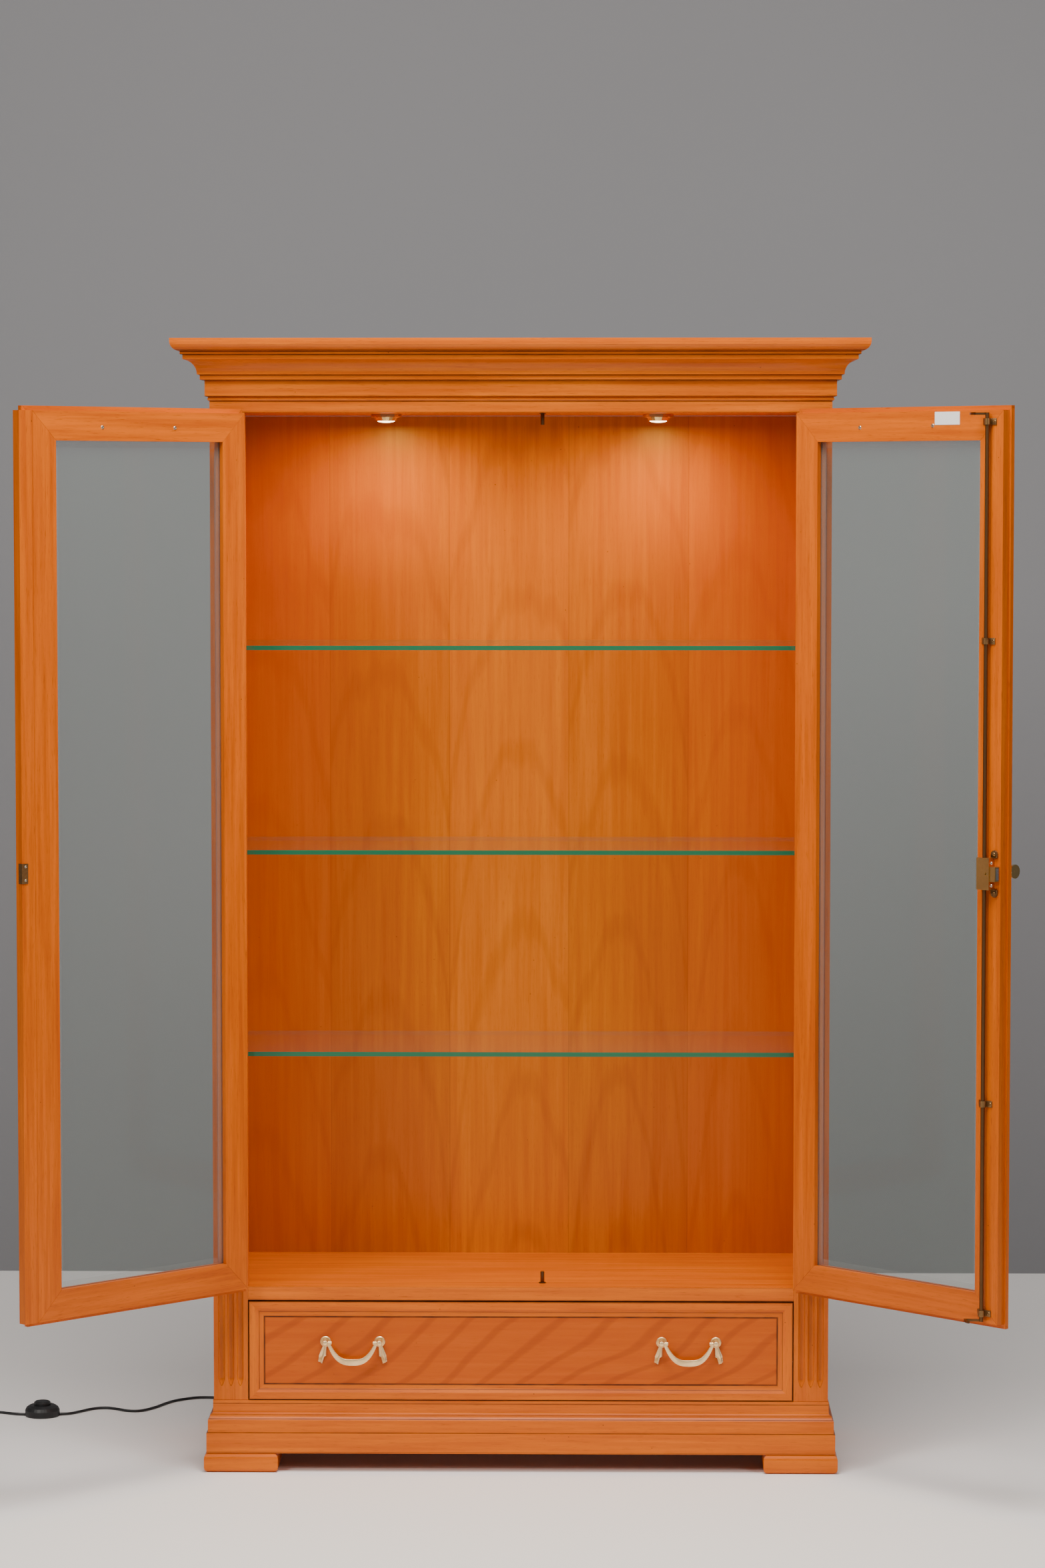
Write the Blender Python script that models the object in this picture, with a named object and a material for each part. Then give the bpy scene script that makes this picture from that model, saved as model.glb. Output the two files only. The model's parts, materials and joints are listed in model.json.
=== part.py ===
"""China cabinet with two glazed doors, a drawer, lit glass shelves and a mains lead.

Metres, +Z up. The cabinet is drawn with X = 0 at its middle, Y = 0 at the front of its
pilasters (the front faces -Y) and Z = 0 on the floor. Each door is drawn shut and then turned
open by the empty on its hinge pins. All of it hangs on one empty, which moves the model's
origin to the middle of its footprint.
"""

import math

import bmesh
import bpy
from mathutils import Matrix, Vector

# Overall sizes
CABINET_HEIGHT = 2.000
BODY_HALF_WIDTH = 0.544
BODY_DEPTH = 0.385
OPENING_HALF_WIDTH = 0.483
TOUCH = 0.0003  # between pieces that rest on each other

# Levels above the floor
FOOT_HEIGHT = 0.034
PLINTH_TOP = 0.127
DRAWER_TOP = 0.3035
FLOOR_TOP = 0.330
FLOOR_THICKNESS = 0.024
OPENING_TOP = 1.872
SHELF_TOPS = (0.742, 1.101, 1.463)

# Boards
PILASTER_THICKNESS = 0.025
SIDE_THICKNESS = 0.018
BACK_THICKNESS = 0.008
BACK_INSET = 0.014
TOP_THICKNESS = 0.018
BAY_FLOOR_THICKNESS = 0.018
MOULDING_THICKNESS = 0.020
CAP_THICKNESS = 0.022
CAP_OVERHANG = 0.064
CAP_ROUND = 0.016

# Fluting of the pilasters
FLUTE_COUNT = 3
FLUTE_PITCH = 0.0165
FLUTE_RADIUS = 0.0065
FLUTE_DEPTH = 0.0035
FLUTE_MARGIN = 0.024
FLUTE_TIP = 0.014

# Feet
FOOT_LENGTH = 0.131
FOOT_DEPTH = 0.110
FOOT_PROUD = 0.017
FOOT_ROUND = 0.009

# Glass shelves and the pegs under them
SHELF_THICKNESS = 0.008
SHELF_SETBACK = 0.050
SHELF_END_GAP = 0.0004
PEG_RADIUS = 0.003
PEG_LENGTH = 0.012

# Lamps
LAMP_X = 0.243
LAMP_Y = 0.175
LAMP_RADIUS = 0.0275
LAMP_HEIGHT = 0.012

# Doors, drawn shut
MEMBER_WIDTH = 0.050
REAR_THICKNESS = 0.0165
LIP_THICKNESS = 0.008
LIP_OVERLAP = 0.008
LIP_GAP = 0.0005
DOOR_GAP = 0.002
STRIP_WIDTH = 0.028
LEFT_LIP_FREE = 0.0106
RIGHT_LIP_FREE = 0.0035
GLASS_THICKNESS = 0.004
GLASS_SET_IN = 0.009
GROOVE_DEPTH = 0.009
GROOVE_GAP = 0.0004
SIGHT_ROUND = 0.005
MITRE_GAP = 0.00015
DOOR_OPEN_DEG = 135.0

# Hinges
PIN_OUTWARD = 0.0015
KNUCKLE_RADIUS = 0.003
KNUCKLE_HEIGHT = 0.034
KNUCKLE_GAP = 0.0006
HINGE_LEVELS = (0.440, 1.101, 1.770)
LEAF_WIDTH = 0.014
LEAF_THICKNESS = 0.0015

# Lock, rod and key on the right door
LOCK_LEVEL = 1.095
LOCK_HEIGHT = 0.054
LOCK_THICKNESS = 0.014
LOCK_NEAR = 0.0136
LOCK_FAR = 0.0407
NOSE_HEIGHT = 0.025
NOSE_THICKNESS = 0.012
NOSE_NEAR = 0.002
BOLT_HEIGHT = 0.020
BOLT_THICKNESS = 0.0075
BOLT_STANDOFF = 0.0022
BOLT_LENGTH = 0.0135
BOLT_CLEARANCE = 0.0004
ROD_RADIUS = 0.0035
ROD_CLEARANCE = 0.0004
ROD_EDGE = 0.0285
ROD_STANDOFF = 0.008
ROD_END_GAP = 0.004
HOOK_REACH = 0.0258
HOOK_WIDTH = 0.0035
HOOK_HEIGHT = 0.004
HOOK_BEARING_DEG = 40.0
HOOK_SPAN_DEG = 42.0
KEY_EDGE = 0.0195
KEY_RADIUS = 0.0025
KEY_CLEARANCE = 0.0005
KEY_OUT = 0.026
KEY_BOW_RADIUS = 0.012
KEY_BOW_THICKNESS = 0.004
PLATE_HEIGHT = 0.034
PLATE_WIDTH = 0.0125
PLATE_LEG = 0.0085
PLATE_THICKNESS = 0.0008

# Strike pins in the cabinet's floor and ceiling
STRIKE_X = 0.038
STRIKE_Y = 0.0455
STRIKE_RADIUS = 0.0033
STRIKE_LENGTH = 0.020

# Drawer
DRAWER_GAP = 0.002
DRAWER_PROUD = 0.003
DRAWER_FRONT_THICKNESS = 0.021
DRAWER_FRAME = 0.027
DRAWER_BEVEL = 0.009
DRAWER_RECESS = 0.004
DRAWER_SIDE_THICKNESS = 0.012
DRAWER_SIDE_INSET = 0.006
DRAWER_SIDE_TOP = 0.270
DRAWER_BACK_GAP = 0.0207  # between the drawer and the back panel, for the cable gland
DRAWER_BOTTOM_THICKNESS = 0.006
DRAWER_BOTTOM_RISE = 0.006
GUIDE_WIDTH = 0.012
GUIDE_HEIGHT = 0.018
GUIDE_GAP = 0.001

# Pulls
PULL_X = 0.2975
PULL_LEVEL = 0.2325
PULL_SPACING = 0.096
ROSETTE_RADIUS = 0.0095
ROSETTE_HEIGHT = 0.009
PIVOT_STANDOFF = 0.0115
PIVOT_RADIUS = 0.0016
PIVOT_CLEARANCE = 0.0003
BAIL_DROP = 0.036
BAIL_END_INSET = 0.0085
BAIL_END_RADIUS = 0.0032
BAIL_MID_HEIGHT = 0.010
BAIL_END_HEIGHT = 0.005
BAIL_THICKNESS = 0.003
TASSEL_LENGTH = 0.034
TASSEL_WIDTH = 0.0095
TASSEL_THICKNESS = 0.0022
TASSEL_OUT = 0.010

# Mains lead
CORD_DIAMETER = 0.005
CORD_HEIGHT = CORD_DIAMETER / 2 + 0.0002
GLAND_X = -0.440
GLAND_LEVEL = 0.240
GLAND_RADIUS = 0.009
GLAND_LENGTH = 0.016
SWITCH_AT = (-0.907, 0.468)
SWITCH_RADIUS = 0.0325
SWITCH_HEIGHT = 0.021
BUTTON_RADIUS = 0.0155
BUTTON_RISE = 0.0075
BUTTON_SUNK = 0.006
BUTTON_GAP = 0.0005
COIL_AT = (-1.068, 0.4560)
COIL_INNER = 0.0225
COIL_OUTER = 0.0355
COIL_HEIGHT = 0.0105
PLUG_LENGTH = 0.044
PLUG_WIDTH = 0.026
PLUG_HEIGHT = 0.020

# The cord's route by hand, from the gland to the switch and from the switch to the coil
ROUTE_TO_SWITCH = [
    (-0.440, 0.4000, 0.2400), (-0.440, 0.4130, 0.2395), (-0.4410, 0.4400, 0.2200),
    (-0.4450, 0.4680, 0.1600), (-0.4520, 0.4950, 0.0850), (-0.4640, 0.5300, 0.0260),
    (-0.4840, 0.5680, 0.0060), (-0.5120, 0.5980, CORD_HEIGHT), (-0.5500, 0.6180, CORD_HEIGHT),
    (-0.5930, 0.6280, CORD_HEIGHT), (-0.6300, 0.6270, CORD_HEIGHT),
    (-0.6650, 0.6020, CORD_HEIGHT), (-0.6840, 0.5730, CORD_HEIGHT),
    (-0.7026, 0.5330, CORD_HEIGHT), (-0.7250, 0.5040, CORD_HEIGHT),
    (-0.7500, 0.5030, CORD_HEIGHT), (-0.7720, 0.5190, CORD_HEIGHT),
    (-0.7950, 0.5290, CORD_HEIGHT), (-0.8180, 0.5200, CORD_HEIGHT),
    (-0.8380, 0.4960, CORD_HEIGHT), (-0.8550, 0.4770, CORD_HEIGHT),
    (-0.8742, 0.4700, CORD_HEIGHT),
]
ROUTE_TO_COIL = [
    (-0.9398, 0.4670, CORD_HEIGHT), (-0.9560, 0.4700, CORD_HEIGHT),
    (-0.9800, 0.4810, CORD_HEIGHT), (-1.0050, 0.4915, CORD_HEIGHT),
    (-1.0380, 0.4958, CORD_HEIGHT), (-1.0680, 0.4943, CORD_HEIGHT),
]

# Worked out from the sizes above
DOOR_THICKNESS = REAR_THICKNESS + LIP_THICKNESS
DOOR_FRONT = -LIP_GAP - LIP_THICKNESS
REAR_FRONT = DOOR_FRONT + LIP_THICKNESS
INNER_FACE = DOOR_FRONT + DOOR_THICKNESS
REAR_BOTTOM = FLOOR_TOP + DOOR_GAP
REAR_TOP = OPENING_TOP - DOOR_GAP
FRAME_WIDTH = (2 * OPENING_HALF_WIDTH - 3 * DOOR_GAP - STRIP_WIDTH) / 2
LEFT_HINGE_EDGE = -OPENING_HALF_WIDTH + DOOR_GAP
RIGHT_HINGE_EDGE = -LEFT_HINGE_EDGE
LEFT_FREE_EDGE = LEFT_HINGE_EDGE + FRAME_WIDTH
STRIP_END = LEFT_FREE_EDGE + STRIP_WIDTH
RIGHT_FREE_EDGE = RIGHT_HINGE_EDGE - FRAME_WIDTH
PIN_X = RIGHT_HINGE_EDGE + LIP_OVERLAP + PIN_OUTWARD
PIN_Y = DOOR_FRONT
CAVITY_HALF_WIDTH = BODY_HALF_WIDTH - SIDE_THICKNESS
BACK_FRONT = BODY_DEPTH - BACK_INSET - BACK_THICKNESS
CAP_BOTTOM = CABINET_HEIGHT - CAP_THICKNESS
ROD_X = RIGHT_FREE_EDGE + ROD_EDGE
ROD_Y = INNER_FACE + ROD_STANDOFF
DRAWER_HALF_WIDTH = OPENING_HALF_WIDTH - DRAWER_GAP
DRAWER_BOTTOM = PLINTH_TOP + DRAWER_GAP
DRAWER_FACE = -DRAWER_PROUD
DRAWER_FRONT_BACK = DRAWER_FACE + DRAWER_FRONT_THICKNESS
PIVOT_Y = DRAWER_FACE - PIVOT_STANDOFF

OPEN = math.radians(DOOR_OPEN_DEG)


def clear_scene():
    for old in list(bpy.data.objects):
        bpy.data.objects.remove(old, do_unlink=True)


def material(name, colour, roughness, metallic=0.0):
    made = bpy.data.materials.new(name)
    made.use_nodes = True
    shader = made.node_tree.nodes["Principled BSDF"]
    shader.inputs["Base Color"].default_value = (*colour, 1.0)
    shader.inputs["Roughness"].default_value = roughness
    shader.inputs["Metallic"].default_value = metallic
    return made


def box(low, high):
    bm = bmesh.new()
    bmesh.ops.create_cube(bm, size=1.0)
    size = [high[i] - low[i] for i in range(3)]
    middle = [(high[i] + low[i]) / 2 for i in range(3)]
    bmesh.ops.scale(bm, vec=size, verts=bm.verts)
    bmesh.ops.translate(bm, vec=middle, verts=bm.verts)
    return bm


def prism(outline, low, high, axis="Z"):
    """An outline extruded along one axis; its points are the other two coordinates in order."""
    places = {
        "X": lambda p, h: (h, p[0], p[1]),
        "Y": lambda p, h: (p[0], h, p[1]),
        "Z": lambda p, h: (p[0], p[1], h),
    }
    bm = bmesh.new()
    face = bm.faces.new([bm.verts.new(places[axis](p, low)) for p in outline])
    grown = bmesh.ops.extrude_face_region(bm, geom=[face])
    top = [v for v in grown["geom"] if isinstance(v, bmesh.types.BMVert)]
    shift = Vector(places[axis]((0, 0), high)) - Vector(places[axis]((0, 0), low))
    bmesh.ops.translate(bm, vec=shift, verts=top)
    bmesh.ops.recalc_face_normals(bm, faces=bm.faces)
    return bm


def cylinder(base, radius, length, axis="Z", segments=16, top_radius=None):
    bm = bmesh.new()
    end_radius = radius if top_radius is None else top_radius
    bmesh.ops.create_cone(
        bm, cap_ends=True, segments=segments, radius1=radius, radius2=end_radius, depth=length
    )
    bmesh.ops.translate(bm, vec=(0, 0, length / 2), verts=bm.verts)
    turns = {"X": Matrix.Rotation(math.pi / 2, 3, "Y"), "Y": Matrix.Rotation(-math.pi / 2, 3, "X")}
    if axis in turns:
        bmesh.ops.rotate(bm, matrix=turns[axis], verts=bm.verts)
    bmesh.ops.translate(bm, vec=base, verts=bm.verts)
    return bm


def turned(profile, centre, segments=24):
    """A profile of (radius, height) points, bottom to top, spun round a vertical axis."""
    bm = bmesh.new()
    verts = [bm.verts.new((r, 0, z)) for r, z in profile]
    edges = [bm.edges.new(pair) for pair in zip(verts, verts[1:])]
    bmesh.ops.spin(
        bm, geom=verts + edges, axis=(0, 0, 1), cent=(0, 0, 0),
        steps=segments, angle=2 * math.pi, use_merge=True,
    )
    bmesh.ops.remove_doubles(bm, verts=bm.verts, dist=1e-6)
    bmesh.ops.translate(bm, vec=centre, verts=bm.verts)
    bmesh.ops.recalc_face_normals(bm, faces=bm.faces)
    return bm


def place(bm, name, finish, parent, smooth_deg=None):
    """One mesh object drawn in cabinet coordinates, hung on a parent without moving."""
    mesh = bpy.data.meshes.new(name)
    anchor = DRAWN_AT[parent.name]
    bmesh.ops.translate(bm, vec=-anchor, verts=bm.verts)
    bm.to_mesh(mesh)
    bm.free()
    if smooth_deg is not None:
        mesh.shade_smooth()
        mesh.set_sharp_from_angle(angle=math.radians(smooth_deg))
    made = bpy.data.objects.new(name, mesh)
    bpy.context.collection.objects.link(made)
    made.parent = parent
    if finish:
        mesh.materials.append(finish)
    return made


def combine(target, bm, operation):
    """Joins or cuts a piece with a hidden mesh, kept as a Boolean modifier."""
    tool = place(bm, f"tool_{len(bpy.data.objects)}", None, target.parent)
    tool.hide_render = True
    tool.display_type = "WIRE"
    step = target.modifiers.new(operation.lower(), "BOOLEAN")
    step.operation = operation
    step.object = tool
    step.solver = "EXACT"


def empty(name, at, parent=None):
    made = bpy.data.objects.new(name, None)
    bpy.context.collection.objects.link(made)
    made.parent = parent
    above = DRAWN_AT[parent.name] if parent else Vector((0, 0, 0))
    made.location = Vector(at) - above
    DRAWN_AT[name] = Vector(at)
    return made


def arc(centre, radius, start_deg, end_deg, steps):
    turns = [math.radians(start_deg + (end_deg - start_deg) * i / steps) for i in range(steps + 1)]
    return [(centre[0] + radius * math.cos(a), centre[1] + radius * math.sin(a)) for a in turns]


def u_moulding(profile, back):
    """A section of (projection, height) points run round the left side, the front and the right."""
    bm = bmesh.new()
    rings = []
    for side, at_back in ((-1, True), (-1, False), (1, False), (1, True)):
        ring = []
        for out, height in profile:
            depth = back if at_back else -out
            ring.append(bm.verts.new((side * (BODY_HALF_WIDTH + out), depth, height)))
        rings.append(ring)
    for near, far in zip(rings, rings[1:]):
        for i in range(len(profile)):
            j = (i + 1) % len(profile)
            bm.faces.new((near[i], near[j], far[j], far[i]))
    bm.faces.new(rings[0])
    bm.faces.new(reversed(rings[-1]))
    bmesh.ops.recalc_face_normals(bm, faces=bm.faces)
    return bm


def make_plinth(root):
    cove = arc((0.0063, 0.107), 0.0049, 180, 270, 4)
    profile = [
        (-MOULDING_THICKNESS, FOOT_HEIGHT + TOUCH), (0.0127, FOOT_HEIGHT + TOUCH),
        (0.0127, 0.070), (0.0102, 0.0708), (0.0102, 0.093), (0.0085, 0.0955),
        (0.0063, 0.0985), *reversed(cove), (0.0014, PLINTH_TOP), (-MOULDING_THICKNESS, PLINTH_TOP),
    ]
    place(u_moulding(profile, BODY_DEPTH), "plinth", WOOD, root)


def make_cornice(root):
    base = OPENING_TOP + TOUCH
    bead = arc((0.0, 1.8955), 0.0035, -90, 60, 4)
    cavetto = arc((0.0462, 1.938), 0.0262, 180, 97, 7)
    top = CAP_BOTTOM - TOUCH
    profile = [
        (-MOULDING_THICKNESS, base), (0.0, base), *bead, (0.0077, 1.9005),
        (0.0077, 1.928), (0.0155, 1.929), (0.0155, 1.937), (0.0200, 1.938), *cavetto[1:],
        (0.0430, 1.9720), (0.0475, 1.9725), (0.0475, top), (-MOULDING_THICKNESS, top),
    ]
    place(u_moulding(profile, BODY_DEPTH), "cornice_moulding", WOOD, root)

    round_edge = arc((CAP_OVERHANG - CAP_ROUND, CAP_BOTTOM + CAP_ROUND), CAP_ROUND, -90, 0, 5)
    cap = bmesh.new()
    levels = [(CAP_OVERHANG - CAP_ROUND, CAP_BOTTOM)] + round_edge[1:] + [(CAP_OVERHANG, CABINET_HEIGHT)]
    rings = []
    for out, height in levels:
        half = BODY_HALF_WIDTH + out
        corners = ((-half, BODY_DEPTH), (-half, -out), (half, -out), (half, BODY_DEPTH))
        rings.append([cap.verts.new((x, y, height)) for x, y in corners])
    for low, high in zip(rings, rings[1:]):
        for i in range(4):
            cap.faces.new((low[i], low[(i + 1) % 4], high[(i + 1) % 4], high[i]))
    cap.faces.new(rings[0])
    cap.faces.new(rings[-1])
    bmesh.ops.recalc_face_normals(cap, faces=cap.faces)
    place(cap, "cornice_cap", WOOD, root)


def make_feet(root):
    outer = BODY_HALF_WIDTH + FOOT_PROUD
    for side, side_name in ((-1, "left"), (1, "right")):
        for row, start in (("front", -FOOT_PROUD), ("rear", BODY_DEPTH - FOOT_DEPTH)):
            xs = sorted((side * outer, side * (outer - FOOT_LENGTH)))
            bm = box((xs[0], start, 0.0), (xs[1], start + FOOT_DEPTH, FOOT_HEIGHT))
            level = [e for e in bm.edges if abs(e.verts[0].co.z - e.verts[1].co.z) < TOUCH]
            bmesh.ops.bevel(
                bm, geom=level, offset=FOOT_ROUND, segments=4, profile=0.5,
                affect="EDGES", material=-1, clamp_overlap=True,
            )
            place(bm, f"{row}_{side_name}_foot", WOOD, root, 35)


def make_pilaster(root, side, name):
    xs = sorted((side * OPENING_HALF_WIDTH, side * BODY_HALF_WIDTH))
    low = PLINTH_TOP + TOUCH
    high = OPENING_TOP
    piece = place(box((xs[0], 0, low), (xs[1], PILASTER_THICKNESS, high)), name, WOOD, root)
    middle = (xs[0] + xs[1]) / 2
    axis_y = FLUTE_DEPTH - FLUTE_RADIUS
    for i in range(FLUTE_COUNT):
        x = middle + (i - (FLUTE_COUNT - 1) / 2) * FLUTE_PITCH
        start = low + FLUTE_MARGIN
        end = high - FLUTE_MARGIN
        profile = [
            (0.0, start), (FLUTE_RADIUS - FLUTE_DEPTH, start),
            (FLUTE_RADIUS, start + FLUTE_TIP), (FLUTE_RADIUS, end - FLUTE_TIP),
            (FLUTE_RADIUS - FLUTE_DEPTH, end), (0.0, end),
        ]
        combine(piece, turned(profile, (x, axis_y, 0), 16), "DIFFERENCE")


def make_case(root):
    cavity = CAVITY_HALF_WIDTH
    behind = PILASTER_THICKNESS + TOUCH
    for side, name in ((-1, "left"), (1, "right")):
        xs = sorted((side * cavity, side * BODY_HALF_WIDTH))
        bm = box((xs[0], behind, PLINTH_TOP + TOUCH), (xs[1], BODY_DEPTH, OPENING_TOP))
        panel = place(bm, f"{name}_side_panel", WOOD, root)
        for top in SHELF_TOPS:
            level = top - SHELF_THICKNESS - TOUCH - PEG_RADIUS
            for y in (SHELF_SETBACK + 0.045, BACK_FRONT - 0.060):
                base_x = side * (cavity + 0.004)
                start = min(base_x, base_x - side * PEG_LENGTH)
                peg = cylinder((start, y, level), PEG_RADIUS, PEG_LENGTH, "X", 10)
                combine(panel, peg, "UNION")
        make_pilaster(root, side, f"{name}_pilaster")

    bm = box(
        (-cavity + TOUCH, BACK_FRONT, PLINTH_TOP + TOUCH),
        (cavity - TOUCH, BACK_FRONT + BACK_THICKNESS, OPENING_TOP - TOUCH),
    )
    place(bm, "back_panel", WOOD_INSIDE, root)

    inner = BODY_HALF_WIDTH - MOULDING_THICKNESS - TOUCH
    bm = box(
        (-inner, MOULDING_THICKNESS + TOUCH, OPENING_TOP + TOUCH),
        (inner, BODY_DEPTH, OPENING_TOP + TOP_THICKNESS),
    )
    ceiling = place(bm, "top_panel", WOOD_INSIDE, root)
    pin_base = OPENING_TOP - STRIKE_LENGTH
    pin = cylinder((STRIKE_X, STRIKE_Y, pin_base), STRIKE_RADIUS, STRIKE_LENGTH + 0.006, "Z", 14)
    combine(ceiling, pin, "UNION")

    front = OPENING_HALF_WIDTH - TOUCH
    wide = cavity - TOUCH
    outline = [
        (-front, 0), (front, 0), (front, behind), (wide, behind), (wide, BACK_FRONT - TOUCH),
        (-wide, BACK_FRONT - TOUCH), (-wide, behind), (-front, behind),
    ]
    floor = place(
        prism(outline, FLOOR_TOP - FLOOR_THICKNESS, FLOOR_TOP), "cabinet_floor", WOOD_INSIDE, root
    )
    pin = cylinder(
        (STRIKE_X, STRIKE_Y, FLOOR_TOP - 0.006), STRIKE_RADIUS, STRIKE_LENGTH + 0.006, "Z", 14
    )
    combine(floor, pin, "UNION")

    bm = box(
        (-inner, MOULDING_THICKNESS + TOUCH, PLINTH_TOP - BAY_FLOOR_THICKNESS),
        (inner, BACK_FRONT - TOUCH, PLINTH_TOP),
    )
    bay = place(bm, "drawer_bay_floor", WOOD_INSIDE, root)
    guide_x = DRAWER_HALF_WIDTH - DRAWER_SIDE_INSET + GUIDE_GAP
    for side in (-1, 1):
        xs = sorted((side * guide_x, side * (guide_x + GUIDE_WIDTH)))
        bm = box(
            (xs[0], PILASTER_THICKNESS + 0.004, PLINTH_TOP - 0.004),
            (xs[1], BACK_FRONT - 0.002, PLINTH_TOP + GUIDE_HEIGHT),
        )
        combine(bay, bm, "UNION")


def make_shelves_and_lamps(root):
    half = CAVITY_HALF_WIDTH - SHELF_END_GAP
    for name, top in zip(("lower", "middle", "upper"), SHELF_TOPS):
        low = (-half, SHELF_SETBACK, top - SHELF_THICKNESS)
        place(box(low, (half, BACK_FRONT - SHELF_END_GAP, top)), f"{name}_glass_shelf", GLASS, root)
    for side, name in ((-1, "left"), (1, "right")):
        profile = [
            (0.0, -LAMP_HEIGHT), (LAMP_RADIUS * 0.62, -LAMP_HEIGHT),
            (LAMP_RADIUS * 0.80, -LAMP_HEIGHT * 0.45), (LAMP_RADIUS, -LAMP_HEIGHT * 0.40),
            (LAMP_RADIUS, 0.0), (0.0, 0.0),
        ]
        bm = turned(profile, (side * LAMP_X, LAMP_Y, OPENING_TOP), 20)
        place(bm, f"{name}_lamp", BRASS, root, 35)


def make_hinges(root):
    for side, side_name in ((-1, "left"), (1, "right")):
        x = side * PIN_X
        for row, level in zip(("lower", "middle", "upper"), HINGE_LEVELS):
            low = level - KNUCKLE_HEIGHT / 2
            high = level + KNUCKLE_HEIGHT / 2
            leaf = sorted((x - side * 0.001, x + side * LEAF_WIDTH))
            bm = box((leaf[0], -TOUCH - LEAF_THICKNESS, low), (leaf[1], -TOUCH, high))
            piece = place(bm, f"{side_name}_{row}_hinge", BRONZE, root, 35)
            web = box((x - 0.001, PIN_Y, low), (x + 0.001, -TOUCH - LEAF_THICKNESS / 2, high))
            combine(piece, web, "UNION")
            barrel = cylinder((x, PIN_Y, low), KNUCKLE_RADIUS, KNUCKLE_HEIGHT, "Z", 14)
            combine(piece, barrel, "UNION")


def member_section(lip_out):
    """A door member's section: distance out from the sight edge, and depth from the front."""
    glass_front = DOOR_THICKNESS - GLASS_SET_IN - GLASS_THICKNESS
    slot = (glass_front - GROOVE_GAP, glass_front + GLASS_THICKNESS + GROOVE_GAP)
    sight = arc((SIGHT_ROUND, SIGHT_ROUND), SIGHT_ROUND, 180, 270, 3)
    return [
        *reversed(sight), (0.0, slot[0]), (GROOVE_DEPTH, slot[0]), (GROOVE_DEPTH, slot[1]),
        (0.0, slot[1]), (0.0, DOOR_THICKNESS), (MEMBER_WIDTH, DOOR_THICKNESS),
        (MEMBER_WIDTH, LIP_THICKNESS), (MEMBER_WIDTH + lip_out, LIP_THICKNESS),
        (MEMBER_WIDTH + lip_out, 0.0),
    ]


def cut_plane(bm, point, outward):
    """Cuts away what lies beyond a plane and closes the end."""
    geometry = bm.verts[:] + bm.edges[:] + bm.faces[:]
    bmesh.ops.bisect_plane(
        bm, geom=geometry, plane_co=point, plane_no=outward, clear_outer=True, dist=1e-7
    )
    rim = [e for e in bm.edges if e.is_boundary]
    bmesh.ops.holes_fill(bm, edges=rim, sides=0)


def make_frame(prefix, parent, hinge_x, free_x, free_lip):
    """Four mitred members round the pane of one door, drawn shut."""
    toward = 1 if free_x > hinge_x else -1
    sight_hinge = hinge_x + toward * MEMBER_WIDTH
    sight_free = free_x - toward * MEMBER_WIDTH
    sight_low = REAR_BOTTOM + MEMBER_WIDTH
    sight_high = REAR_TOP - MEMBER_WIDTH
    long = 0.1
    members = {}
    for name, sight, out, lip in (
        ("hinge_stile", sight_hinge, -toward, LIP_OVERLAP),
        ("meeting_stile", sight_free, toward, free_lip),
    ):
        outline = [(sight + out * w, DOOR_FRONT + t) for w, t in member_section(lip)]
        bm = prism(outline, REAR_BOTTOM - long, REAR_TOP + long, "Z")
        for corner_z, up in ((sight_low, -1), (sight_high, 1)):
            normal = Vector((-out, 0, up)).normalized()
            cut_plane(bm, Vector((sight, 0, corner_z)) - normal * MITRE_GAP, normal)
        members[name] = bm
    for name, sight, up in (("bottom_rail", sight_low, -1), ("top_rail", sight_high, 1)):
        outline = [(DOOR_FRONT + t, sight + up * w) for w, t in member_section(LIP_OVERLAP)]
        low_x, high_x = sorted((hinge_x, free_x))
        bm = prism(outline, low_x - long, high_x + long, "X")
        for corner_x, out in ((sight_hinge, -toward), (sight_free, toward)):
            normal = Vector((out, 0, -up)).normalized()
            cut_plane(bm, Vector((corner_x, 0, sight)) - normal * MITRE_GAP, normal)
        members[name] = bm
    for name, bm in members.items():
        cut_plane(bm, (free_x + toward * free_lip, 0, 0), Vector((toward, 0, 0)))
        for level, up in ((REAR_BOTTOM - LIP_OVERLAP, -1), (REAR_TOP + LIP_OVERLAP, 1)):
            cut_plane(bm, (0, 0, level), Vector((0, 0, up)))
        bmesh.ops.dissolve_limit(
            bm, angle_limit=math.radians(0.05), verts=bm.verts[:], edges=bm.edges[:]
        )
        bmesh.ops.recalc_face_normals(bm, faces=bm.faces)
        members[name] = place(bm, f"{prefix}_{name}", WOOD, parent)
    for level in HINGE_LEVELS:
        notch_height = KNUCKLE_HEIGHT + 2 * KNUCKLE_GAP
        base = (-toward * PIN_X, PIN_Y, level - notch_height / 2)
        notch = cylinder(base, KNUCKLE_RADIUS + KNUCKLE_GAP, notch_height, "Z", 14)
        combine(members["hinge_stile"], notch, "DIFFERENCE")

    reach = GROOVE_DEPTH - GROOVE_GAP
    glass_front = DOOR_FRONT + DOOR_THICKNESS - GLASS_SET_IN - GLASS_THICKNESS
    low_x, high_x = sorted((sight_hinge - toward * reach, sight_free + toward * reach))
    pane = box(
        (low_x, glass_front, sight_low - reach),
        (high_x, glass_front + GLASS_THICKNESS, sight_high + reach),
    )
    place(pane, f"{prefix}_glass", GLASS, parent)
    return members


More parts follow.
